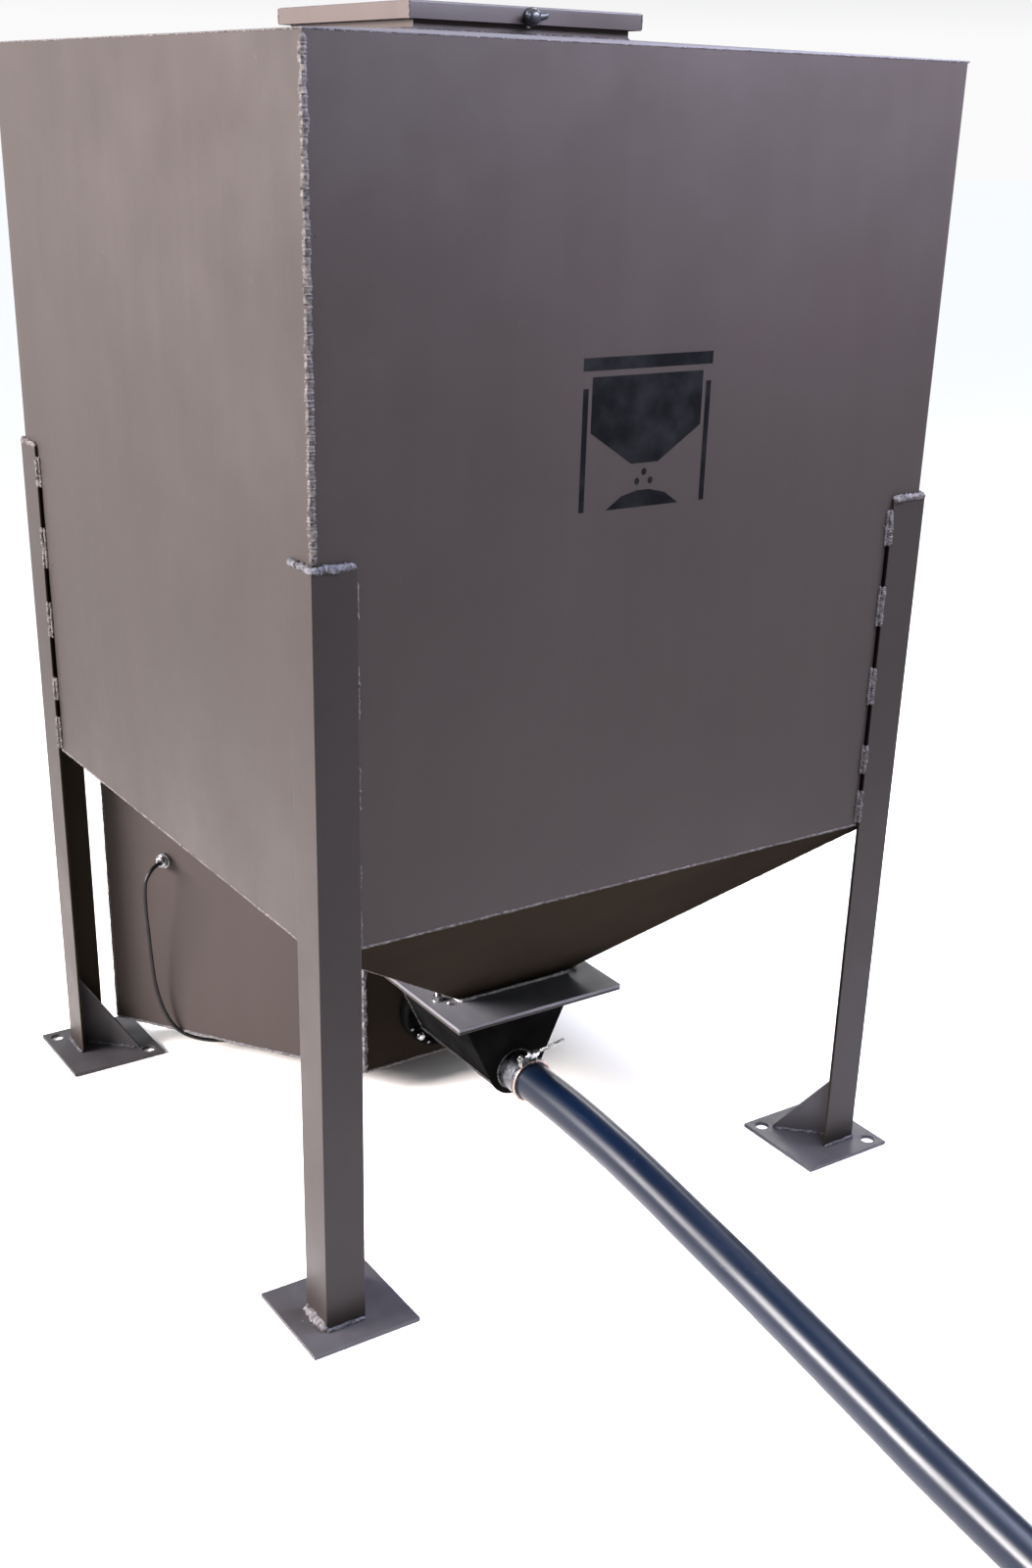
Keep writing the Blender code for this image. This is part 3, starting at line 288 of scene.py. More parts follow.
def painted_shade_material():
    """Painted shade: dark, nearly matt, mottled olive-brown enamel on faces that look down or away."""
    tone = (3, 4), (0.3, (0.0115, 0.0088, 0.007)), (0.7, (0.016, 0.0128, 0.0092))
    gloss = (6, 5), (0.3, 0.52), (0.7, 0.66)
    return mottled_material("dull_painted_shade_enamel", tone, gloss, (420, 2), 0.00006, Specular_IOR_Level=0)


def roof_material():
    """Matt enamel without shine, lighter than the walls: painted light on the roof and the lid's top."""
    tone = (5, 5), (0.3, (0.046, 0.043, 0.045)), (0.7, (0.06, 0.056, 0.058))
    return mottled_material("matt_top_light_enamel", tone, None, (420, 2), 0.00006, Roughness=0.8,
                            Specular_IOR_Level=0)


def plate_material(name, base, light, metallic):
    """Enamel over hot-rolled plate: glossier, with mill marks and small bare spots; its cooler blue-grey
    tone is painted sky reflection.
    """
    s = Surface(name, Metallic=metallic, Specular_IOR_Level=0.3)
    marks = s.ramp((14, 5, (1, 0.35, 1)), (0.3, base), (0.7, light))
    spots = s.ramp((170, 3), (0.73, 0), (0.77, 1))
    s.set("Base Color", s.mix("MIX", spots, marks, times(light, 1.9)))
    s.set("Roughness", s.ramp((30, 5), (0.3, 0.44), (0.7, 0.6)))
    s.bump((300, 3), 0.00008)
    return s.mat


def weld_material(name, dark, pale):
    """Enamel over weld metal: duller and paler than the sheet, with fine scale."""
    tone = (160, 4), (0.3, dark), (0.72, pale)
    gloss = (300, 3), (0.3, 0.5), (0.7, 0.75)
    return mottled_material(name, tone, gloss, (420, 3), 0.00018, Specular_IOR_Level=0.08)


def black_enamel_material(name, specular):
    tone = (18, 5), (0.3, 0.0022), (0.7, 0.0052)
    gloss = (25, 5), (0.3, 0.24), (0.7, 0.4)
    return mottled_material(name, tone, gloss, (350, 2), 0.00008, Specular_IOR_Level=specular)


def zinc_material(name, tint, dark):
    """Zinc plate with a spangled sheen and a little dulling."""
    tone = (140, 5), (0.32, dark), (0.62, tint)
    gloss = (75, 4), (0.3, 0.2), (0.7, 0.42)
    return mottled_material(name, tone, gloss, (700, 2), 0.00005, Metallic=1)


def moulded_material(name, colour, roughness, depth=0.00006, scale=900, **sockets):
    """Moulded plastic or rubber with a fine grain and slight handling marks; pitch black shows no dust."""
    dust = 0.004 if min(colour) > 0.002 else 0
    tone = (22, 5), (0.4, colour), (0.8, tuple(c * 1.35 + dust for c in colour))
    gloss = (40, 4), (0.3, roughness * 0.85), (0.7, min(1, roughness * 1.2))
    return mottled_material(name, tone, gloss, (scale, 2), depth, **sockets)


def pipe_material():
    """Extruded polyethylene: glossy, drawn along its length, with dust and small scuffs."""
    s = Surface("pipe_polyethylene", Specular_IOR_Level=0.21)
    dust = s.ramp((330, 2), (0.74, 0), (0.78, 1))
    scuffs = s.ramp((60, 4, (1, 0.08, 1)), (0.6, 0), (0.8, 0.35))
    # The navy tint in both tones is painted sky reflection on the black pipe; the scuffs and dust are wear.
    colour = s.mix("MIX", scuffs, (0.0006, 0.0028, 0.009), (0.012, 0.016, 0.028))
    s.set("Base Color", s.mix("MIX", dust, colour, (0.1, 0.1, 0.1)))
    s.set("Roughness", s.ramp((45, 4, (1, 0.1, 1)), (0.3, 0.28), (0.7, 0.36)))
    s.bump((160, 3, (1, 0.06, 1)), 0.00005)
    return s.mat


def build_materials():
    taupe, taupe_light = (0.0188, 0.0146, 0.0136), (0.0214, 0.0167, 0.0156)
    # Copies of the taupe paint: panel (the box's left panel, the collar) and lid_side (the lid's left faces)
    # are lighter, painted light; shaded (the legs' front faces) is darker, painted shade.
    coats = (("paint", "taupe_enamel", 1), ("panel", "panel_painted_light_enamel", 1.5),
             ("lid_side", "lid_side_painted_light_enamel", 2.1), ("shaded", "front_painted_shade_enamel", 0.68))
    welds = (("weld", "weld_enamel", (0.014, 0.0122, 0.0118), (0.066, 0.058, 0.056)),
             ("seam", "seam_enamel", (0.016, 0.0135, 0.0125), (0.1, 0.088, 0.085)),
             # scale: the paler flecks are partly weld scale and partly painted glints.
             ("scale", "scaly_glint_enamel", (0.026, 0.024, 0.025), (0.15, 0.14, 0.148)),
             ("stitch", "stitch_enamel", (0.02, 0.019, 0.021), (0.074, 0.07, 0.078)),
             ("tack", "tack_enamel", (0.014, 0.012, 0.0115), (0.088, 0.078, 0.076)),
             # lump: the outlet weld's pale tone is painted light, where the lamps don't reach under the
             # hopper.
             ("lump", "painted_light_weld", (0.18, 0.17, 0.18), (0.52, 0.5, 0.51)))
    zincs = (("zinc", "zinc_plate", (0.36, 0.36, 0.37), (0.2, 0.2, 0.21)),
             ("bright", "bright_zinc", (0.5, 0.5, 0.5), (0.27, 0.27, 0.28)),
             # gland: a darker copy of the zinc, painted shade.
             ("gland", "gland_shaded_zinc", (0.3, 0.3, 0.31), (0.14, 0.14, 0.145)),
             ("spigot", "dull_zinc", (0.13, 0.135, 0.15), (0.06, 0.062, 0.07)),
             ("band", "band_steel", (0.55, 0.36, 0.28), (0.33, 0.2, 0.16)))
    made = {key: paint_material(name, times(taupe, k), times(taupe_light, k)) for key, name, k in coats}
    made.update({key: weld_material(*looks) for key, *looks in welds})
    made.update({key: zinc_material(*looks) for key, *looks in zincs})
    made.update({
        "dull": painted_shade_material(),
        "roof": roof_material(),
        "pipe": pipe_material(),
        "black": black_enamel_material("black_enamel", 0),
        "gloss": black_enamel_material("black_gloss", 0.6),
        "plate": plate_material("plate_enamel", (0.025, 0.0225, 0.0245), (0.037, 0.0333, 0.036), 0.1),
        # The flange's pale blue-grey, much lighter than the paint, is painted sky reflection on its top.
        "flange": plate_material("flange_enamel", (0.078, 0.077, 0.087), (0.118, 0.117, 0.132), 0.25),
        "display": moulded_material("display_glass", (0.004, 0.006, 0.005), 0.1, 0.000005),
        # The joint strips' black is painted shadow.
        "joint_shade": moulded_material("joint_shadow", (0.0016, 0.001, 0.001), 0.9, Specular_IOR_Level=0),
        "sign": moulded_material("sign_film", (0.003, 0.003, 0.0032), 0.8, 0.00002, Specular_IOR_Level=0),
        "nylon": moulded_material("black_nylon", (0.006, 0.006, 0.007), 0.34, Specular_IOR_Level=0.22),
        "foam": moulded_material("gasket_foam", (0.012, 0.012, 0.012), 0.9, 0.0003, 500),
        "jacket": moulded_material("cable_jacket", (0.0035, 0.0035, 0.0038), 0.42, Specular_IOR_Level=0.2),
        "rubber": moulded_material("grommet_rubber", (0.01, 0.01, 0.01), 0.75),
        "battery": moulded_material("battery_case", (0.02, 0.02, 0.024), 0.5, 0.00012, 600),
        "case": moulded_material("controller_case", (0.2, 0.21, 0.22), 0.48),
        "red": moulded_material("red_cap", (0.46, 0.02, 0.015), 0.32),
        "dark": moulded_material("black_cap", (0.014, 0.014, 0.014), 0.4),
        "green": moulded_material("green_button", (0.02, 0.22, 0.06), 0.3),
    })
    return made


# The funnels and the box's front sheet take the dark matt enamel, painted shade; the collar and the box's
# left panel a lighter copy of the paint, painted light; the roof the lighter matt top, painted light; the
# flange a pale blue-grey, painted sky reflection.
NODE_MATERIALS = {
    "roof_panel": "roof", "fill_collar": "panel", "box_left_panel": "panel", "box_front_sheet": "dull",
    "outlet_flange": "flange", "outlet_spigot": "spigot",
    **{"funnel_" + side: "dull" for side in ("front", "rear", "left", "right")},
    **{"foot_" + corner: "plate" for corner, _, _ in CORNERS},
}
# The materials that fill each slot, the CAD nodes' own first.
FINISHES = {
    PAINT: ("paint", "weld", "seam", "scale", "stitch", "tack", "lump"),
    BLACK: ("black", "gloss", "joint_shade", "sign"),
    ZINC: ("zinc", "bright", "spigot", "band", "gland"),
    "positive_cap": ("red",), "negative_cap": ("dark",), "black_plastic": ("nylon", "dark", "display"),
    "gasket_foam": ("foam",), "polyethylene": ("pipe",), "cable_jacket": ("jacket",),
    "grommet_rubber": ("rubber",), "battery_case": ("battery",), "controller_case": ("case",),
    "rocker_plastic": ("red",), "button_plastic": ("green",),
}


# Pieces
def dress_nodes():
    """Every CAD node gets its finish, softened edges and smooth round faces."""
    slots = {part["node"]: part["material_slot"] for part in frame["record"]["subparts"]}
    widths = {"leg": 0.0012, "foot": 0.0008, "lid": 0.0004, "power": 0.0004, "test": 0.0003,
              "controller": 0.0003, "auger": 0}
    for name, obj in frame["nodes"].items():
        mesh = obj.data
        mesh.materials.clear()
        mesh.materials.append(materials[NODE_MATERIALS.get(name, FINISHES[slots[name]][0])])
        if "custom_normal" in mesh.attributes:
            mesh.attributes.remove(mesh.attributes["custom_normal"])
        if name.startswith("leg_"):
            shade_leg(obj)
        if name == "lid":
            mesh.materials.append(materials["roof"])
            mesh.materials.append(materials["lid_side"])
            # Painted light: the lid's upward faces take the lighter matt top enamel, and its left faces the
            # lighter lid_side copy.
            for face in mesh.polygons:
                upward = face.normal.z > 0.9 and (obj.matrix_world @ face.center).z > LID_HIGH.z - 0.0005
                face.material_index = 1 if upward else 2 * int(face.normal.x < -0.9)
        mesh.shade_smooth()
        soften(obj, widths.get(name.split("_")[0], 0.0005))


def shade_leg(leg):
    """Painted shade on a leg: the hollow side of its angle takes the dark matt enamel, and its front face a
    darker copy of the paint.
    """
    leg.data.materials.append(materials["dull"])
    leg.data.materials.append(materials["shaded"])
    middle = leg.matrix_world @ (sum((Vector(c) for c in leg.bound_box), Vector()) / 8)
    for face in leg.data.polygons:
        normal = leg.matrix_world.to_3x3() @ face.normal
        centre = leg.matrix_world @ face.center
        inside = max(abs(centre.x), abs(centre.y)) < LEG_OUTER - 0.001
        if inside and (normal.x * middle.x < -0.1 or normal.y * middle.y < -0.1) and abs(normal.z) < 0.5:
            face.material_index = 1
        elif normal.y < -0.9:
            face.material_index = 2


def soften(obj, width):
    """A small bevel on every edge; without a width, only a crease at the sharp ones."""
    obj.modifiers.new("weld", "WELD").merge_threshold = 1e-5
    if not width:
        obj.modifiers.new("rims", "EDGE_SPLIT").split_angle = radians(40)
        return
    bevel = obj.modifiers.new("edges", "BEVEL")
    bevel.width, bevel.segments = width, 2
    bevel.limit_method, bevel.angle_limit = "ANGLE", radians(32)
    bevel.use_clamp_overlap = True
    obj.modifiers.new("normals", "WEIGHTED_NORMAL").weight = 50


def claim(obj, body, replaced=None):
    """Hang a piece under its body's empty and hide the CAD node that it stands in for."""
    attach(obj, body)
    if replaced:
        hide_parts(replaced)


def add_piece(name, bm, mat, replaced=None, body=STAND):
    bmesh.ops.recalc_face_normals(bm, faces=bm.faces)
    mesh = finished(name, bm)
    mesh.materials.append(materials[mat])
    mesh.shade_smooth()
    mesh.set_sharp_from_angle(angle=radians(38))
    obj = link(name, mesh)
    claim(obj, body, replaced)
    return obj


def smooth_route(points, spacing):
    """Points about spacing apart on a Catmull-Rom curve through the points."""
    points = [Vector(p) for p in points]
    ends = [2 * points[0] - points[1]] + points + [2 * points[-1] - points[-2]]
    route = [points[0]]
    for a, b, c, d in zip(ends, ends[1:], ends[2:], ends[3:]):
        steps = max(1, round((c - b).length / spacing))
        for i in range(1, steps + 1):
            t = i / steps
            route.append(0.5 * (2 * b + (c - a) * t + (2 * a - 5 * b + 4 * c - d) * t ** 2
                                + (3 * b - a - 3 * c + d) * t ** 3))
    return route


def length_of(route):
    return sum((b - a).length for a, b in zip(route, route[1:]))


def rings_along(bm, route, radii, sides):
    """Rings of vertices across a route, turned as little as possible; radii(i, angle) gives the radius."""
    tangents = [(b - a).normalized() for a, b in zip(route[:1] + route, route[1:] + route[-1:])]
    tangents[0] = (route[1] - route[0]).normalized()
    tangents[-1] = (route[-1] - route[-2]).normalized()
    side = tangents[0].orthogonal().normalized()
    rings = []
    for i, (place, along) in enumerate(zip(route, tangents)):
        side = (side - along * side.dot(along)).normalized()
        over = along.cross(side)
        ring = []
        for k in range(sides):
            angle = tau * k / sides
            reach = radii(i, angle)
            ring.append(bm.verts.new(place + (side * cos(angle) + over * sin(angle)) * reach))
        rings.append(ring)
    return rings


def skin(bm, rings, closed=False, capped=False):
    pairs = list(zip(rings, rings[1:])) + ([(rings[-1], rings[0])] if closed else [])
    for one, two in pairs:
        for k in range(len(one)):
            bm.faces.new((one[k], one[k - 1], two[k - 1], two[k]))
    if capped:
        bm.faces.new(rings[0])
        bm.faces.new(rings[-1][::-1])


def tube_mesh(route, outer, inner, sides):
    """A hollow tube along a route, with flat annular ends."""
    bm = bmesh.new()
    outside = rings_along(bm, route, lambda i, a: outer, sides)
    inside = rings_along(bm, route, lambda i, a: inner, sides)
    skin(bm, outside + inside[::-1], closed=True)
    return bm


# Cords
def build_cable():
    gland_face = GLAND_PLACE + PANEL_OUT * 0.018
    points = [GLAND_PLACE + PANEL_OUT * 0.006, gland_face]
    points += [BOX_FRONT_CORNER + PANEL_ALONG * a + PANEL_OUT * o + UP * z for a, o, z in CABLE_FREE_POINTS]
    points += [GROMMET_PLACE + UP * z for z in (-0.008, 0.004)]
    route = smooth_route(points, 0.004)
    curve = bpy.data.curves.new("motor_cable_jacket", "CURVE")
    curve.dimensions = "3D"
    curve.bevel_depth = CABLE_DIAMETER / 2
    curve.bevel_resolution = 5
    curve.use_fill_caps = True
    curve.materials.append(materials["jacket"])
    spline = curve.splines.new("POLY")
    spline.points.add(len(route) - 1)
    for point, place in zip(spline.points, route):
        point.co = (*place, 1)
    spline.use_smooth = True
    cable = link("motor_cable_jacket", curve)
    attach(cable, STAND)
    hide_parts("motor_cable")


def build_pipe():
    route = smooth_route(PIPE_POINTS, 0.012)
    bm = tube_mesh(route, PIPE_DIAMETER / 2, PIPE_DIAMETER / 2 - 0.0045, 64)
    pipe = add_piece("outlet_pipe_wall", bm, "pipe", "outlet_pipe")
    bm = bmesh.new()
    add_turned(bm, coupling_profile(), axis_frame(PIPE_POINTS[-1], (0, -1, 0)), 64, True)
    coupling = add_piece("pipe_coupling_socket", bm, "nylon", "pipe_coupling")


def coupling_profile():
    """A straight socket with rolled rims and a raised middle band."""
    bore, body, rim, half = PIPE_DIAMETER / MM / 2 + 0.3, 36.6, 38.9, 45
    upper = [(bore + 1.2, half), (rim - 1.2, half), (rim, half - 1.2), (rim, half - 7), (body, half - 9.5),
             (body, 6.5), (rim - 0.6, 4.5)]
    lower = [(r, -z) for r, z in upper[::-1]]
    return upper + lower + [(bore, -half + 1.2), (bore, half - 1.2)]


# Welds
def evenly(path, step):
    """Points a step apart along straight runs through the path."""
    path = [Vector(p) for p in path]
    places = [path[0]]
    for a, b in zip(path, path[1:]):
        count = max(1, round((b - a).length / step))
        places += [a.lerp(b, i / count) for i in range(1, count + 1)]
    return places


def add_bead(bm, rng, path, radius, spatter=()):
    """A rippled, uneven bead along a path; spatter holds the directions that drops fly in."""
    step = radius * 0.36
    route = evenly(path, step)
    last = len(route) - 1
    offset = Vector([rng.uniform(0, 90) for _ in range(3)])
    for i, place in enumerate(route):
        place += noise.noise_vector(offset + Vector((i * 0.11, 0, 0))) * radius * 0.22
    ripple = radius * rng.uniform(0.85, 1.15)

    def reach(i, angle):
        scallop = 0.78 + 0.24 * abs(sin(pi * i * step / ripple))
        rough = noise.noise(offset + Vector((i * 0.47, 1.9 * cos(angle), 1.9 * sin(angle))))
        swell = noise.noise(offset + Vector((0, 0, i * 0.05)))
        taper = min(1, 0.35 + 0.3 * min(i, last - i))
        return radius * scallop * (1 + 0.42 * rough + 0.25 * swell) * taper

    rings = rings_along(bm, route, reach, 9)
    skin(bm, rings)
    bm.faces.new(rings[0])
    bm.faces.new(rings[-1][::-1])
    for direction in spatter:
        for _ in range(max(1, int(length_of(route) / 0.045))):
            place = route[rng.randrange(last)] + Vector(direction) * (radius + rng.expovariate(1 / 0.007))
            bmesh.ops.create_icosphere(bm, subdivisions=1, radius=rng.uniform(0.0005, 0.0013),
                                       matrix=Matrix.Translation(place))


def weld_piece(name, runs, seed, mat="weld", body=STAND):
    """runs are (path, radius) or (path, radius, spatter directions)."""
    rng = random.Random(seed)
    bm = bmesh.new()
    for run in runs:
        add_bead(bm, rng, *run)
    return add_piece(name, bm, mat, body=body)


# Places along the outlet weld, and the upper and lower ends of the stitches down a leg
LUMPS = (-0.126, -0.104, 0.096, 0.124)
STITCH_END = 0.604
STITCHES = ((1.104, 1.052), (0.992, 0.922), (0.86, 0.8), (0.735, 0.69), (0.658, 0.606))


def build_leg_welds():
    """A bead over each leg's end and double stitches down its toes, with black strips between them: painted
    shadow in the open joints by the toes.
    """
    middle = HALF + 0.0022
    for number, (name, sx, sy) in enumerate(CORNERS):
        rng = random.Random(40 + number)
        over = [(sx * TOE, sy * middle, LEG_TOP + 0.0008), (sx * middle, sy * middle, LEG_TOP + 0.0012),
                (sx * middle, sy * TOE, LEG_TOP + 0.0008)]
        close_joint = name == "front_left"
        radius, mat = (0.0064, "stitch") if close_joint else (0.0056, "tack")
        weld_piece("leg_end_weld_" + name, [(over, radius)], 50 + number, mat)
        if close_joint:
            weld_piece("leg_welds_" + name, small_tacks(sx, sy, rng), 60 + number, "tack")
            continue
        runs, joint_shadows = [], bmesh.new()
        for along_x in (True, False):
            stitches = [(top + rng.uniform(-0.006, 0.006), low + rng.uniform(-0.006, 0.004))
                        for top, low in STITCHES]
            ends = [z for pair in stitches for z in pair] + [WALL_BOTTOM]
            side = toe_point(-sx, -sy, 1, 0, 0, along_x)
            for top, low in stitches:
                for inset, out, radius, spatter in ((0.0002, 0.0028, 0.004, ()),
                                                    (0.0052, 0.0004, 0.0026, (side,))):
                    path = [toe_point(sx, sy, TOE - inset, HALF + out, z, along_x)
                            for z in (top, max(low, STITCH_END))]
                    runs.append((path, radius, spatter))
            # Black strips over the toe and the joint beside it, between stitches: painted shadow.
            depth = 0.0034 if along_x else 0.0066
            for top, low in zip(ends[1::2], ends[2::2]):
                if top - low > 0.012:
                    add_box(joint_shadows, toe_point(sx, sy, TOE + 0.0002, HALF, low, along_x),
                            toe_point(sx, sy, TOE - depth, HALF + 0.0044, top, along_x))
        weld_piece("leg_welds_" + name, runs, 60 + number, "tack")
        add_piece("leg_joint_shadow_" + name, joint_shadows, "joint_shade")


def small_tacks(sx, sy, rng):
    """The front leg's close joint: a thin ragged seam with a few small tacks."""
    runs = []
    for z0, z1 in STITCHES:
        top = z0 + rng.uniform(-0.012, 0)
        path = [toe_point(sx, sy, TOE - 0.0004, HALF + 0.003, z, True) for z in (top, max(z1, STITCH_END))]
        runs.append((path, 0.0017))
        for _ in range(3):
            z = rng.uniform(max(z1, STITCH_END + 0.002), top)
            path = [toe_point(sx, sy, TOE - 0.0006, HALF + 0.0034, z + lift, True)
                    for lift in (0.003, -0.003)]
            runs.append((path, 0.0022))
    return runs


def toe_point(sx, sy, along, out, z, along_x):
    """A point by a leg's toe, along the wall and out from the middle; a leg has a toe on each wall."""
    return (sx * along, sy * out, z) if along_x else (sx * out, sy * along, z)


def rim_path(x, low_y, high_y, z):
    """A closed rectangle in plan."""
    return [(-x, low_y, z), (x, low_y, z), (x, high_y, z), (-x, high_y, z), (-x, low_y, z)]


def add_box(bm, low, high, turn=None):
    """A box between two corners, in any order."""
    low, high = Vector(map(min, low, high)), Vector(map(max, low, high))
    made = bmesh.ops.create_cube(bm, size=1)["verts"]
    bmesh.ops.scale(bm, vec=high - low, verts=made)
    bmesh.ops.translate(bm, vec=(low + high) / 2, verts=made)
    if turn:
        bmesh.ops.transform(bm, matrix=turn, verts=made)


def build_hopper_welds():
    """The two butted corners, the seams under the walls, along the hips and round the roof."""
    top, above_leg = WALL_TOP - 0.004, LEG_TOP + 0.006
    runs = []
    for sign in (-1, 1):
        edge = sign * (HALF - 0.0003)
        runs.append(([(edge, edge, top), (edge, edge, above_leg)], 0.005, ((-sign, 0, 0), (0, -sign, 0))))
    weld_piece("corner_welds", runs, 7)

    clear, edge = TOE - 0.001, HALF - 0.0015
    runs = []
    for sign in (-1, 1):
        runs.append(([(-clear, sign * edge, WALL_BOTTOM), (clear, sign * edge, WALL_BOTTOM)], 0.0024))
        runs.append(([(sign * edge, -clear, WALL_BOTTOM), (sign * edge, clear, WALL_BOTTOM)], 0.0024))
    front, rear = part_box("funnel_front")[1].y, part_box("funnel_rear")[0].y
    hip, level = 0.503, FLANGE_HIGH.z
    for sx in (-1, 1):
        for y_top, y_low in ((-hip, front), (hip, rear)):
            runs.append(([(sx * hip, y_top, WALL_BOTTOM + 0.0005),
                          (sx * (OPENING_HALF + 0.001), y_low, level + 0.004)], 0.0021))
    weld_piece("hopper_seams", runs, 11, "seam")

    runs = [(rim_path(OPENING_HALF * 1.02, front - 0.0062, rear + 0.0025, level + 0.0012), 0.0028)]
    for x in LUMPS:
        lump = [(x - 0.004, front - 0.004, level + 0.0022), (x + 0.004, front - 0.005, level + 0.0018)]
        runs.append((lump, 0.003))
    # The outlet weld's pale tone is painted light in the hopper's shade.
    weld_piece("outlet_weld", runs, 13, "lump")

    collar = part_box("fill_collar")[1].x * 1.004
    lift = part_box("roof_panel")[1].z + 0.0004
    weld_piece("collar_weld", [(rim_path(collar, -collar, collar, lift), 0.0016)], 17, "paint")
    edge = HALF - 0.0008
    weld_piece("roof_weld", [(rim_path(edge, -edge, edge, WALL_TOP + 0.0006), 0.0012)], 19, "paint")


def build_foot_welds():
    """Fillets between each leg, its gusset and its foot plate."""
    level, outer, inner = FOOT_TOP + 0.0012, LEG_OUTER + 0.001, HALF - 0.0004
    for number, (name, sx, sy) in enumerate(CORNERS):
        lift, radius, mat = (0.0035, 0.0088, "scale") if name == "front_left" else (0, 0.0042, "stitch")
        side = [(sx * outer, sy * y, level + lift) for y in (outer, TOE)]
        weld_piece("foot_side_weld_" + name, [(side, radius, ((sx, 0, 0),))], 90 + number, mat)
        runs = [([(sx * TOE, sy * outer, level), (sx * outer, sy * outer, level)], 0.0038, ((0, sy, 0),))]
        near, far = TOE + 0.002, inner - 0.008
        runs.append(([(sx * near, sy * inner, level), (sx * far, sy * inner, level)], 0.003))
        runs.append(([(sx * inner, sy * near, level), (sx * inner, sy * far, level)], 0.003))
        inward, across = Vector((-sx, -sy, 0)).normalized(), Vector((-sy, sx, 0)).normalized()
        for edge in (-1, 1):
            start = Vector((sx * HALF, sy * HALF, 0)) + across * edge * 0.0034
            base, rise = start + UP * level, start + inward * 0.0075
            runs.append(([base + inward * 0.012, base + inward * 0.124], 0.0033))
            runs.append(([rise + UP * 0.016, rise + UP * 0.138], 0.0024))
        weld_piece("foot_welds_" + name, runs, 80 + number, "stitch")


def build_box_welds():
    """Beads round the box's foot, up its four corners and under the hopper's slope."""
    front_left = BOX_FRONT_CORNER
    front_right = Vector((-front_left.x, front_left.y, 0))
    rear_left = Vector((REAR_FRAME_LOW.x, REAR_FRAME_LOW.y, 0))
    rear_right = Vector((REAR_FRAME_HIGH.x, REAR_FRAME_LOW.y, 0))
    corners = (rear_left, front_left, front_right, rear_right)
    lows = [p + UP * PANEL_LOW.z for p in corners]
    highs = [p + UP * (slope_height(p.y) - 0.004) for p in corners]
    runs = [([a, b], 0.0026) for a, b in zip(lows, lows[1:])]
    runs += [([lows[k] + UP * 0.002, highs[k]], 0.006) for k in (1, 2)]
    # The pale flecks on these beads are partly painted glints.
    weld_piece("box_edge_welds", runs, 37, "scale")
    runs = [([highs[a], highs[b]], 0.003) for a, b in ((1, 0), (1, 2), (2, 3))]
    runs += [([lows[k], highs[k]], 0.0022) for k in (0, 3)]
    weld_piece("box_welds", runs, 23, "seam")


def slope_height(y):
    """Height of the rear slope's lower face above a line across at y."""
    low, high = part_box("funnel_rear")
    return low.z + (high.z - low.z) * (y - low.y) / (high.y - low.y)


def build_trough_welds():
    outline = trough_outline(0.0452, TROUGH_HIGH.z - 0.001)
    runs = [([(x, y, z) for x, z in outline], 0.0019)
            for y in (TROUGH_LOW.y + 0.001, TROUGH_HIGH.y - 0.001)]
    weld_piece("trough_welds", runs, 29, "gloss")
    folds = bmesh.new()
    for x, z in (outline[1], outline[4], outline[-2], outline[-5]):
        lip = [Vector((x * 1.012, y, z - 0.0004)) for y in (TROUGH_LOW.y + 0.003, TROUGH_HIGH.y - 0.003)]
        skin(folds, rings_along(folds, evenly(lip, 0.02), lambda i, a: 0.001, 10))
    add_piece("trough_folds", folds, "gloss")
    ring = [(x, SPIGOT_HIGH.y - 0.0012, AXIS_Z + z) for x, z in circle(0.0352, 40)]
    weld_piece("spigot_weld", [(ring + ring[:1], 0.002)], 31, "gloss")


def circle(radius, count, height=None):
    """Points round a circle, or round an ellipse when it has its own height."""
    turns = [tau * k / count for k in range(count)]
    return [(radius * cos(a), (height or radius) * sin(a)) for a in turns]


def trough_outline(radius, top):
    """Open outline of the trough in X and Z: a side, the round bottom, a side."""
    slope = 0.47
    lean = atan(slope)
    half = radius / cos(lean) + slope * (top - AXIS_Z)
    turns = [-lean + (2 * lean - pi) * i / 16 for i in range(17)]
    bottom = [(radius * cos(a), AXIS_Z + radius * sin(a)) for a in turns]
    return [(half, top)] + bottom + [(-half, top)]


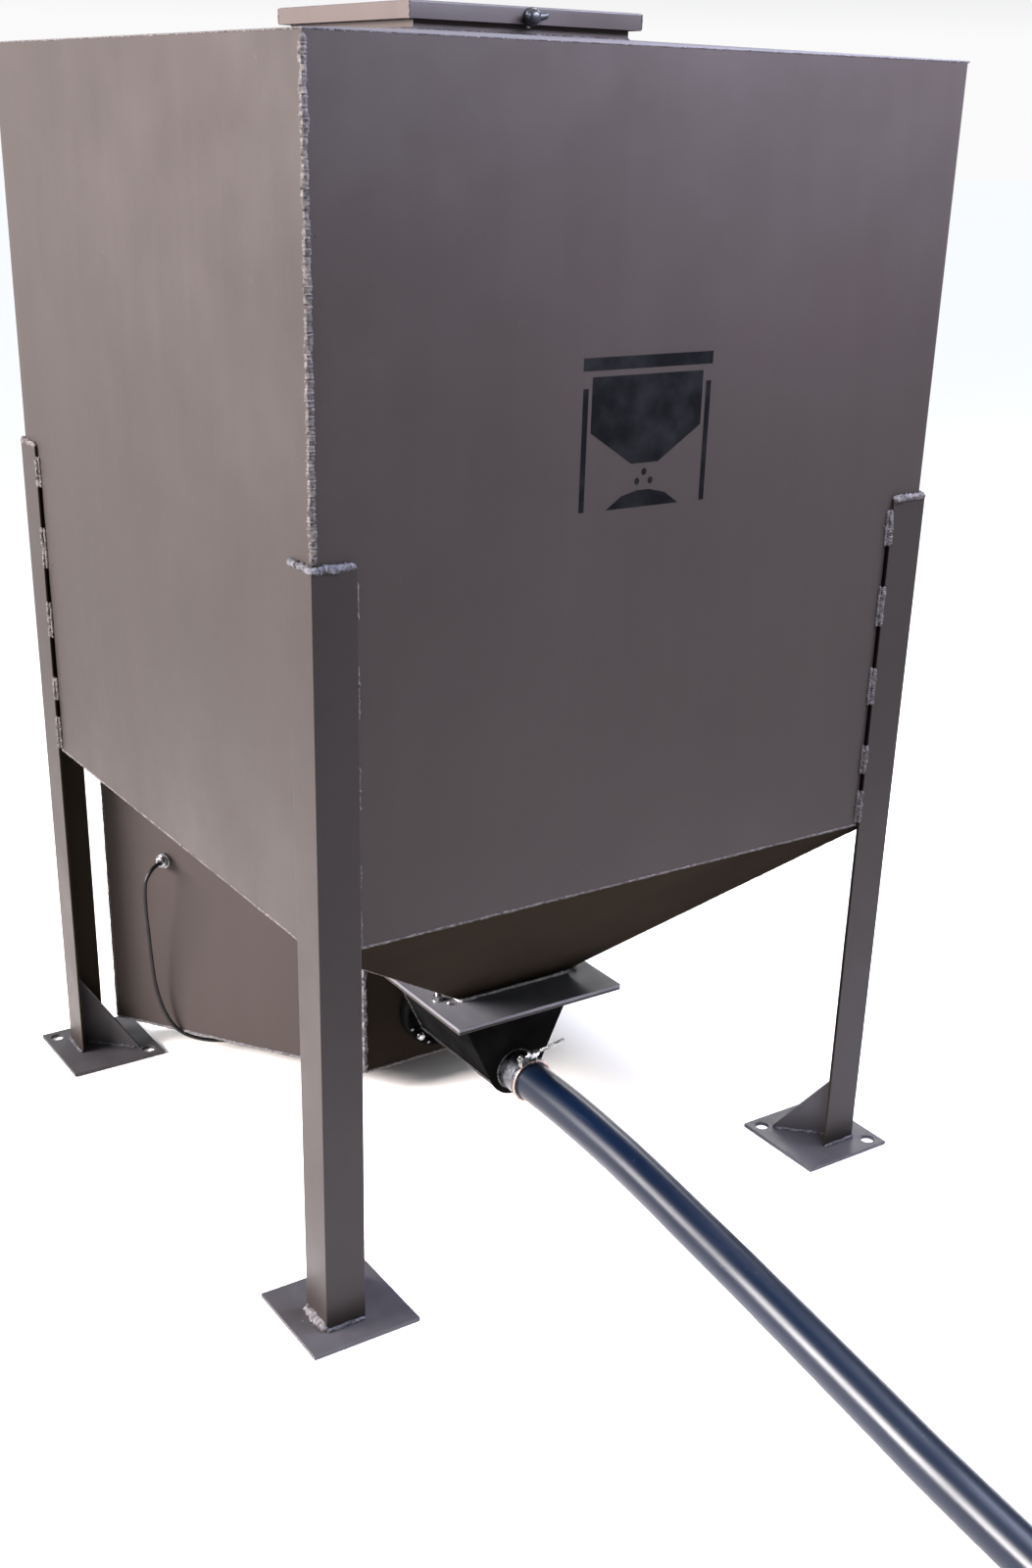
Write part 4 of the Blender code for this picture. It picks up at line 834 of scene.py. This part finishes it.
# Hopper sheets
def build_wall(name, turn):
    """One folded sheet of the hopper, a little wavy between its welded edges, as thin sheet is."""
    radius, low, high = 0.006, WALL_BOTTOM, WALL_TOP
    columns = wall_columns(HALF - SHEET - 0.0003, radius)
    length, fold_at = columns[-1][2], 2 * HALF - radius
    bm = bmesh.new()
    grid = []
    for i in range(45):
        z = low + (high - low) * i / 44
        line = []
        for place, out, along in columns:
            edge = min(along, length - along, abs(along - fold_at) + 0.004, z - low, high - z)
            free = min(1, max(0, edge) / 0.16)
            spot = Vector((along * 2.1, z * 1.9, 3.7 if turn > 0 else 9.1))
            wave = 0.0016 * noise.noise(spot) + 0.0005 * noise.noise(spot * 3.1)
            inward = 0.0012 * free * free * (3 - 2 * free) + leg_pull(place, z)
            line.append(bm.verts.new((*(place + out * (wave * free - inward)), z)))
        grid.append(line)
    for lower, upper in zip(grid, grid[1:]):
        for k in range(len(lower) - 1):
            bm.faces.new((lower[k], lower[k + 1], upper[k + 1], upper[k]))
    bmesh.ops.rotate(bm, matrix=Matrix.Rotation(0 if turn > 0 else pi, 3, "Z"), verts=bm.verts)
    mesh = finished(name + "_skin", bm)
    mesh.materials.append(materials["paint"])
    mesh.shade_smooth()
    sheet = link(name + "_skin", mesh)
    shell = sheet.modifiers.new("thickness", "SOLIDIFY")
    shell.thickness, shell.offset = SHEET, -1
    sheet.modifiers.new("rim", "EDGE_SPLIT").split_angle = radians(50)
    claim(sheet, STAND, name)


def wall_columns(butt, radius):
    """(place in plan, outward direction, distance along) down a sheet: a face, the round fold, a face."""
    columns, face = [], 2 * HALF - radius
    for i in range(49):
        columns.append((Vector((-HALF + face * i / 48, -HALF)), Vector((0, -1)), face * i / 48))
    centre = Vector((HALF - radius, -HALF + radius))
    for i in range(1, 7):
        angle = pi / 2 * (i / 6 - 1)
        out = Vector((cos(angle), sin(angle)))
        columns.append((centre + out * radius, out, face + radius * pi / 2 * i / 6))
    along, run = columns[-1][2], butt - centre.y
    count = round(run / 0.0212)
    for i in range(1, count + 1):
        step = run * i / count
        columns.append((Vector((HALF, centre.y + step)), Vector((1, 0)), along + step))
    return columns


def leg_pull(place, z):
    """How far the stitch welds down a leg's toe draw the sheet in, in metres."""
    across = min(abs(abs(c) - TOE - 0.004) for c in place)
    pull = sum(exp(-(across / 0.022) ** 2 - ((z - (top + bottom) / 2) / 0.03) ** 2)
               for top, bottom in STITCHES)
    return 0.0007 * pull


def build_sign():
    """A plain black sign on the front sheet: a hopper on two legs, three grains and a heap under it."""
    bm = bmesh.new()
    shapes = [
        [(-105, 98), (105, 98), (105, 82), (-105, 82)],
        [(-90, 74), (90, 74), (90, 4), (22, -40), (-22, -40), (-90, 4)],
        [(-104, 60), (-96, 60), (-96, -98), (-104, -98)],
        [(96, 60), (104, 60), (104, -98), (96, -98)],
        [(-60, -98), (60, -98), (36, -82), (10, -76), (-10, -76), (-36, -82)],
    ]
    for x, z in ((0, -52), (-11, -64), (11, -64)):
        shapes.append([(x + dx, z + dz) for dx, dz in circle(4, 20, 4.6)])
    for outline in shapes:
        bm.faces.new([bm.verts.new((SIGN_X + x * MM, -HALF - 0.004, SIGN_Z + z * MM)) for x, z in outline])
    bmesh.ops.triangulate(bm, faces=bm.faces)
    bmesh.ops.subdivide_edges(bm, edges=bm.edges, cuts=5, use_grid_fill=True)
    wrap = add_piece("hopper_sign", bm, "sign").modifiers.new("on_sheet", "SHRINKWRAP")
    wrap.target = bpy.data.objects["wall_sheet_front_right_skin"]
    wrap.wrap_method, wrap.wrap_mode, wrap.offset = "PROJECT", "ABOVE_SURFACE", 0.0003
    wrap.use_project_y, wrap.use_positive_direction, wrap.use_negative_direction = True, True, False


# Hardware
def axis_frame(origin, axis, x_hint=(1, 0, 0)):
    """A frame in millimetres, with its Z along the axis and its X near the hint."""
    z = Vector(axis).normalized()
    x = (Vector(x_hint) - z * z.dot(Vector(x_hint))).normalized()
    turn = Matrix((x, z.cross(x), z)).transposed().to_4x4()
    return Matrix.Translation(origin) @ turn @ Matrix.Scale(MM, 4)


def add_turned(bm, profile, place, steps=32, closed=False):
    """A (radius, height) profile turned about the frame's Z."""
    made = bmesh.new()
    verts = [made.verts.new((r, 0, h)) for r, h in profile]
    edges = [made.edges.new(pair) for pair in zip(verts, verts[1:])]
    if closed:
        edges.append(made.edges.new((verts[-1], verts[0])))
    bmesh.ops.spin(made, geom=verts + edges, cent=(0, 0, 0), axis=(0, 0, 1), angle=tau, steps=steps,
                   use_merge=True)
    bmesh.ops.remove_doubles(made, verts=made.verts, dist=0.001)
    merge(bm, made, place)


def merge(bm, other, place=None):
    if place:
        bmesh.ops.transform(other, matrix=place, verts=other.verts)
    mesh = finished("part", other)
    bm.from_mesh(mesh)
    bpy.data.meshes.remove(mesh)


def add_hexagon(bm, place, across, low, high, chamfer=0.6):
    """A nut or bolt head with turned-off corners, along the frame's Z."""
    made = bmesh.new()
    corner, slant = across / sqrt(3), chamfer * 0.6
    rings = [[made.verts.new((x, y, z)) for x, y in circle(corner - cut, 6)]
             for z, cut in ((low, chamfer), (low + slant, 0), (high - slant, 0), (high, chamfer))]
    skin(made, rings, capped=True)
    merge(bm, made, place)


def thread_profile(radius, low, high, pitch):
    """Outer line of a threaded rod from its chamfered top down to its foot."""
    profile = [(0, high), (radius * 0.72, high)]
    for i in range(int((high - low) / pitch)):
        top = high - pitch * (i + 0.5)
        profile += [(radius, top), (radius * 0.86, top - pitch / 2)]
    return profile + [(radius, low), (0, low)]


def add_rod(bm, place, radius, low, high, steps=24):
    add_turned(bm, [(0, high), (radius, high), (radius, low), (0, low)], place, steps)


def build_flange_bolts():
    """Each bolt with its thread, washer, nut and head."""
    top = FLANGE_HIGH.z
    under = (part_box("housing_flange")[0].z - top) / MM
    for name, sx, sy in CORNERS:
        low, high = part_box("flange_bolt_" + name)
        place = axis_frame(((low.x + high.x) / 2, (low.y + high.y) / 2, top), UP)
        place = place @ Matrix.Rotation(0.4 * (1 + sx + 2 * sy), 4, "Z")
        bm = bmesh.new()
        add_turned(bm, thread_profile(4, under - 1, (high.z - top) / MM, 1.25), place, 20)
        add_turned(bm, [(4.2, 1.9), (8.8, 1.9), (9, 1.6), (9, 0.3), (4.2, 0.3)], place, 28, True)
        add_hexagon(bm, place, 13, 2, 8.5)
        add_hexagon(bm, place, 13, (low.z - top) / MM, under - 0.3)
        add_piece("flange_bolt_set_" + name, bm, "bright", "flange_bolt_" + name)


def build_clamp():
    """Band with rolled edges, two trunnion loops, a creased bridge under them, and the T-bolt and nut."""
    low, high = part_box("clamp_band")
    half, radius = (high.y - low.y) / 2 / MM, SPIGOT_HIGH.x / MM + 0.3
    centre = Vector((0, (low.y + high.y) / 2, AXIS_Z))
    ring = axis_frame(centre, (0, -1, 0))
    bm = bmesh.new()
    add_turned(bm, [(radius, half - 3), (radius + 1, half - 3.4), (radius + 0.9, 2 - half),
                    (radius + 1.9, 0.9 - half), (radius + 1.1, -half), (radius, 0.9 - half)], ring, 72, True)
    add_piece("clamp_ring", bm, "spigot", "clamp_band")
    bm = bmesh.new()
    add_turned(bm, [(radius + 1.4 + x, half - 1.6 + z) for x, z in circle(1.5, 12, 1.6)], ring, 96, True)
    add_piece("clamp_ring_edge", bm, "band")

    tilt, bolt_height = radians(10), 46
    along = Vector((cos(tilt), 0, sin(tilt)))
    place = axis_frame(centre, (0, -1, 0), along)
    bm = bmesh.new()
    for side in (-1, 1):
        loop = [(side * (9 - 4.6 * cos(turn)), bolt_height + 4.6 * sin(turn))
                for turn in [pi * i / 12 for i in range(13)]]
        line = [(side * 15.5, radius - 3.5)] + loop[::-1] + [(side * 6, radius + 1.2)]
        add_strip(bm, place, line, 1, half * 0.92)
        add_rod(bm, axis_frame(place @ Vector((side * 9, bolt_height, 0)), (0, 1, 0)), 3.6, -half, half, 20)
    bridge = []
    for i in range(23):
        angle = radians(62 + 3 * i) - 2 * tilt
        reach = radius + 3.1 + 0.7 * sin(i * 1.9) + 0.6 * noise.noise(Vector((i * 0.7, 2, 0)))
        bridge.append((cos(angle) * reach, sin(angle) * reach))
    add_strip(bm, place, bridge, 0.7, half * 0.98)
    add_piece("clamp_bridge", bm, "bright")

    bolt = axis_frame(place @ Vector((0, bolt_height, 0)), along)
    bm = bmesh.new()
    add_turned(bm, thread_profile(3, -14, 74, 1), bolt, 16)
    add_turned(bm, [(0, -13.3), (5, -13.7), (5.5, -15), (5, -17), (0, -17.5)], bolt, 24)
    add_hexagon(bm, bolt, 10, 14.3, 20)
    add_turned(bm, [(3.1, 22.2), (4.4, 21.8), (4.8, 20), (3.1, 20)], bolt, 24, True)
    add_turned(bm, [(3.1, 14.3), (5.8, 14.3), (5.8, 13.2), (3.1, 13.2)], bolt, 24, True)
    add_piece("clamp_t_bolt", bm, "bright", "clamp_bolt")


def add_strip(bm, place, line, thickness, half_width):
    """A metal strip along a line in the frame's X-Y plane, wide along its Z."""
    made = bmesh.new()
    line = [Vector((*p, 0)) for p in line]
    wide = Vector((0, 0, -half_width))
    rings = []
    for before, spot, after in zip(line[:1] + line, line, line[1:] + line[-1:]):
        along = (after - before).normalized()
        across = Vector((-along.y, along.x, 0)) * thickness / 2
        rings.append([made.verts.new(spot + a + w) for a, w in
                      ((across, wide), (across, -wide), (-across, -wide), (-across, wide))])
    skin(made, rings, capped=True)
    bmesh.ops.recalc_face_normals(made, faces=made.faces)
    merge(bm, made, place)


def build_gear_housing():
    """A ribbed cast housing with a raised boss, its rim screws, and the two bolts into the end plate."""
    radius, depth = GEAR_HIGH.x / MM, (GEAR_HIGH.y - GEAR_LOW.y) / MM
    place = axis_frame((0, GEAR_HIGH.y, AXIS_Z), (0, -1, 0))
    bm = bmesh.new()
    profile = [(10.8, depth), (24, depth), (25.2, depth - 1.2), (25.8, depth - 4.5),
               (radius - 12, depth - 6), (radius - 10, depth - 0.8), (radius - 3, depth - 0.4),
               (radius, depth - 3.5), (radius, depth * 0.56), (radius - 1.6, depth * 0.54),
               (radius - 1.6, depth * 0.48), (radius, depth * 0.46), (radius, 3.5), (radius - 3, 0),
               (10.8, 0)]
    add_turned(bm, profile, place, 72, True)
    for k in range(12):
        turn = place @ Matrix.Rotation(tau * k / 12, 4, "Z")
        add_box(bm, (24.5, -1.1, depth - 7), (radius - 10.5, 1.1, depth - 2.2), turn)
    add_piece("gear_housing_casting", bm, "black", "gear_housing")

    bm = bmesh.new()
    screw = [(0, depth + 1), (2.2, depth + 1), (3, depth + 0.2), (3, depth - 1.2), (0, depth - 1.2)]
    for k in range(8):
        turn = Matrix.Rotation(tau * (k + 0.5) / 8, 4, "Z") @ Matrix.Translation((radius - 6.6, 0, 0))
        add_turned(bm, screw, place @ turn, 20)
    add_piece("gear_rim_screws", bm, "spigot")

    for side in ("left", "right"):
        low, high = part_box("gear_bolt_" + side)
        bolt = axis_frame(((low.x + high.x) / 2, high.y, (low.z + high.z) / 2), (0, -1, 0))
        bm = bmesh.new()
        add_turned(bm, [(0, 1.3), (6.6, 1.3), (6.9, 0.9), (6.9, 0), (0, 0)], bolt, 28)
        add_hexagon(bm, bolt, 11, 1.2, 5.8)
        add_turned(bm, [(0, 6.3), (2, 6.3), (3.4, 5.6), (0, 5.6)], bolt, 20)
        add_piece("gear_bolt_head_" + side, bm, "zinc", "gear_bolt_" + side)


def build_motor():
    """The motor's drawn can, its end bell, two brush caps and two spade terminals."""
    low, high = MOTOR_LOW, MOTOR_HIGH
    radius, length = high.x / MM, (high.y - low.y) / MM
    bell = length - 30
    profile = [(0, length), (11, length), (12, length - 1), (12, length - 4), (radius - 6, length - 4.2),
               (radius - 1.2, length - 8), (radius - 1, bell + 1.2), (radius - 2.2, bell),
               (radius, bell - 1.2), (radius, 14), (radius - 1.4, 12.8), (radius - 1.4, 11.2), (radius, 10),
               (radius, 1), (radius - 1, 0), (0, 0)]
    can, caps, spades = bmesh.new(), bmesh.new(), bmesh.new()
    add_turned(can, profile, axis_frame((0, low.y, AXIS_Z), (0, 1, 0)), 64)
    for side in (-1, 1):
        cap_at = (side * (high.x - 0.005), low.y + (bell + 13) * MM, AXIS_Z)
        cap = axis_frame(cap_at, (side, 0, 0), (0, 1, 0))
        add_turned(caps, [(0, 4.6), (4, 4.6), (5, 3.8), (5, 0), (0, 0)], cap, 24)
        add_box(spades, (side * 0.02 - 0.0032, high.y - 0.005, AXIS_Z + 0.012),
                (side * 0.02 + 0.0032, high.y - 0.0001, AXIS_Z + 0.0128))
    add_piece("motor_can", can, "black", "drive_motor")
    add_piece("motor_brush_caps", caps, "dark")
    add_piece("motor_spades", spades, "bright")


def build_gland():
    """Metal cable gland: a hexagon on the panel, a domed nut with flats, a rubber lip and a lock nut."""
    place = axis_frame(GLAND_PLACE, PANEL_OUT, UP)
    bore = CABLE_DIAMETER / MM / 2 + 0.5
    body, seal = bmesh.new(), bmesh.new()
    profile = [(bore + 1.6, 17.6), (8, 18), (9.8, 16.8), (10.8, 14.5), (11.2, 13), (11.2, 10), (10.4, 9),
               (10.4, 7.8), (13.3, 7.4), (13.5, 6.6), (13.5, 0.3), (8.1, 0.3), (8.1, -9.8),
               (bore + 1.6, -9.8)]
    add_turned(body, profile, place, 48, True)
    add_hexagon(body, place, 21.4, 9.8, 13.8)
    add_hexagon(body, place, 20.5, -6.5, -2.4)
    # The gland's darker zinc is painted shade.
    add_piece("gland_body", body, "gland", "cable_gland")
    lip = [(bore - 0.4, 17.8), (bore + 1.8, 17.2), (bore + 1.8, -9), (bore - 0.4, -9)]
    add_turned(seal, lip, place, 32, True)
    add_piece("gland_seal", seal, "rubber")


def build_knob():
    """The lid's latch handle: a domed boss with a swept lever on each side, one longer, on a shaft."""
    low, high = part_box("lid_knob")
    place = axis_frame((0, LID_LOW.y - 0.0003, (low.z + high.z) / 2), (0, -1, 0))
    bm = bmesh.new()
    boss = [(0, 16), (3.6, 15.7), (7, 14.4), (9.4, 11.4), (10.6, 7), (11, 4.2), (12, 3.4), (12, 0), (3, 0),
            (3, -6.2), (0, -6.2)]
    add_turned(bm, boss, place, 48)
    for side, reach in ((-1, 13), (1, 16.5)):
        rings = []
        for i in range(13):
            t, rounding = i / 12, {11: 0.85, 12: 0.45}.get(i, 1)
            centre = Vector((side * (3.5 + reach * t), 2.2 * t * t, 8.8 + 4.2 * t * t))
            oval = circle(5.2 * (1 - 0.22 * t * t) * rounding, 16, 3.6 * (1 - 0.35 * t) * rounding)
            rings.append([bm.verts.new(place @ (centre + Vector((0, y, z)))) for y, z in oval])
        skin(bm, rings, capped=True)
    add_piece("latch_wing_knob", bm, "nylon", "lid_knob", LID_LATCH)


def add_rounded_box(bm, low, high, radius, place=None, segments=3):
    """A box with round edges, in metres, or in a frame's millimetres."""
    made = bmesh.new()
    add_box(made, low, high)
    bmesh.ops.bevel(made, geom=made.edges, offset=radius, segments=segments, profile=0.5, affect="EDGES")
    merge(bm, made, place)


def add_prism(bm, outline, depth):
    """A flat outline swept along a depth vector."""
    made = bmesh.new()
    rings = [[made.verts.new(Vector(p) + step) for p in outline] for step in (Vector(), Vector(depth))]
    skin(made, rings, capped=True)
    bmesh.ops.recalc_face_normals(made, faces=made.faces)
    merge(bm, made)


def build_door_latch():
    """A wing handle on a stepped rose, with its shaft and cam through the door."""
    low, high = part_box("door_latch")
    rose = 13
    x, z, face, cam_y = (low.x + high.x) / 2, high.z - rose * MM, DOOR_HIGH.y, low.y + 0.001
    place = axis_frame((x, face, z), (0, 1, 0))
    bm = bmesh.new()
    plate = [(0, 6.6), (7, 6.6), (7.8, 5.2), (10, 4.8), (11.8, 4), (12.9, 2.2), (rose, 0.3), (0, 0.3)]
    add_turned(bm, plate, place, 56)
    add_rounded_box(bm, (-22, -4, 7.5), (22, 4, 18), 3, place, 4)
    add_turned(bm, [(0, 17), (6.2, 16), (7.8, 12), (7, 8), (7, 5), (0, 5)], place, 40)
    add_rod(bm, place, 4, (low.y - face) / MM, 2, 28)
    cam = [(x + 0.0075 * cos(a), cam_y, z + 0.0075 * sin(a))
           for a in [radians(16.25 * i - 40) for i in range(17)]]
    cam += [(x - 0.0045, cam_y, z - 0.032), (x + 0.0045, cam_y, z - 0.032)]
    add_prism(bm, cam, (0, 0.002, 0))
    add_hexagon(bm, axis_frame((x, low.y, z), (0, 1, 0)), 10, 0, 1.2, 0.3)
    add_piece("door_wing_latch", bm, "zinc", "door_latch", DOOR_LATCH)


def build_rivets():
    """Domed rivets through the hinges' fixed leaves."""
    door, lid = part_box("door_hinge_base"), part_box("lid_hinge_base")
    bm = bmesh.new()
    dome = [(0, 2.1), (1.4, 1.9), (2.6, 1.3), (3.4, 0), (0, 0)]
    for part in (0.08, 0.36, 0.64, 0.92):
        z = door[0].z + (door[1].z - door[0].z) * part
        add_turned(bm, dome, axis_frame((door[0].x + 0.0095, door[0].y + 0.0019, z), (0, 1, 0)), 24)
    for part in (0.12, 0.5, 0.88):
        x = lid[0].x + (lid[1].x - lid[0].x) * part
        add_turned(bm, dome, axis_frame((x, lid[1].y - 0.0095, lid[0].z + 0.0019), UP), 24)
    add_piece("hinge_rivets", bm, "bright")


def build_corner_seams():
    """The folded corners of the lid and the door."""
    edge_x, edge_y = LID_HIGH.x - 0.0006, LID_HIGH.y - 0.0006
    runs = [([(sx * edge_x, sy * edge_y, z) for z in (LID_LOW.z + 0.0012, LID_HIGH.z - 0.0012)], 0.0011)
            for _, sx, sy in CORNERS]
    weld_piece("lid_corner_seams", runs, 101, "paint", LID)
    runs = [([(x, y, z) for y in (DOOR_LOW.y + 0.001, DOOR_HIGH.y - 0.001)], 0.0011)
            for x in (DOOR_LOW.x + 0.0006, DOOR_HIGH.x - 0.0006)
            for z in (DOOR_LOW.z + 0.0006, DOOR_HIGH.z - 0.0006)]
    weld_piece("door_corner_seams", runs, 103, "paint", DOOR)


def build_battery():
    """A ribbed battery case under an overhanging lid with a vent strip and terminal wells."""
    low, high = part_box("battery")
    step, side, across, deep = high.z - 0.023, 0.0018, high.x - low.x, high.y - low.y
    bm = bmesh.new()
    add_rounded_box(bm, low + Vector((0.0016, 0.0016, 0)), (high.x - 0.0016, high.y - 0.0016, step), 0.003)
    ribs = [(low.x + 0.02 + (across - 0.04) * i / 6, y, 0.0022, 0.0014)
            for i in range(7) for y in (low.y + side, high.y - side)]
    ribs += [(x, low.y + 0.022 + (deep - 0.044) * i / 3, 0.0014, 0.0022)
             for i in range(4) for x in (low.x + side, high.x - side)]
    for x, y, dx, dy in ribs:
        add_rounded_box(bm, (x - dx, y - dy, low.z + 0.012), (x + dx, y + dy, step - 0.012), 0.0009)
    add_rounded_box(bm, (low.x, low.y, step + 0.0008), (high.x, high.y, high.z - 0.003), 0.0024)
    add_rounded_box(bm, (low.x + 0.03, high.y - 0.062, high.z - 0.0036),
                    (high.x - 0.03, high.y - 0.022, high.z), 0.0012)
    for pole in ("positive", "negative"):
        pole_low, pole_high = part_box("battery_terminal_" + pole)
        well = axis_frame(((pole_low.x + pole_high.x) / 2, (pole_low.y + pole_high.y) / 2, high.z), UP)
        add_turned(bm, [(0, -0.2), (12.5, -0.2), (13.5, -1), (13.5, -3.6), (0, -3.6)], well, 40)
    add_piece("battery_shell", bm, "battery", "battery")


def build_controller():
    """The timer unit: a tub, a screwed cover, a blank display and a frame round the rocker."""
    low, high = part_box("controller")
    rocker_low, rocker_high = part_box("power_rocker")
    split, face, inset = high.y - 0.004, high.y - 0.0002, 0.0012
    shell, trim, display, screws = (bmesh.new() for _ in range(4))
    add_rounded_box(shell, low, (high.x, split, high.z), 0.004, None, 4)
    add_rounded_box(shell, (low.x + inset, split - 0.003, low.z + inset),
                    (high.x - inset, face, high.z - inset), 0.0018)
    add_piece("controller_shell", shell, "case", "controller")

    add_rounded_box(trim, (-0.025, face - 0.002, 0.244), (0.025, face + 0.0008, 0.284), 0.0009)
    margin, bar = 0.0035, 0.0024
    left, right = rocker_low.x - margin, rocker_high.x + margin
    base, top = rocker_low.z - margin, rocker_high.z + margin
    for x0, z0, x1, z1 in ((left, base, right, base + bar), (left, top - bar, right, top),
                           (left, base, left + bar, top), (right - bar, base, right, top)):
        add_rounded_box(trim, (x0, face - 0.001, z0), (x1, face + 0.0012, z1), 0.0005, None, 2)
    add_piece("controller_trim", trim, "dark")

    add_rounded_box(display, (-0.0215, face + 0.0001, 0.2475), (0.0215, face + 0.0012, 0.2805), 0.0005)
    add_piece("controller_display", display, "display")
    screw = [(0, 1.2), (0.9, 1.2), (1.2, 1.8), (2.6, 1.2), (3.1, 0.2), (3.1, -1), (0, -1)]
    for x in (low.x + 0.0085, high.x - 0.0085):
        for z in (low.z + 0.0085, high.z - 0.0085):
            add_turned(screws, screw, axis_frame((x, face, z), (0, 1, 0)), 24)
    add_piece("controller_screws", screws, "zinc")


build_camera()
build_studio()
materials = build_materials()
dress_nodes()
build_cable()
build_pipe()
build_leg_welds()
build_hopper_welds()
build_foot_welds()
build_box_welds()
build_trough_welds()
build_wall("wall_sheet_front_right", 1)
build_wall("wall_sheet_rear_left", -1)
build_sign()
build_flange_bolts()
build_clamp()
build_gear_housing()
build_motor()
build_gland()
build_knob()
build_door_latch()
build_rivets()
build_corner_seams()
build_battery()
build_controller()
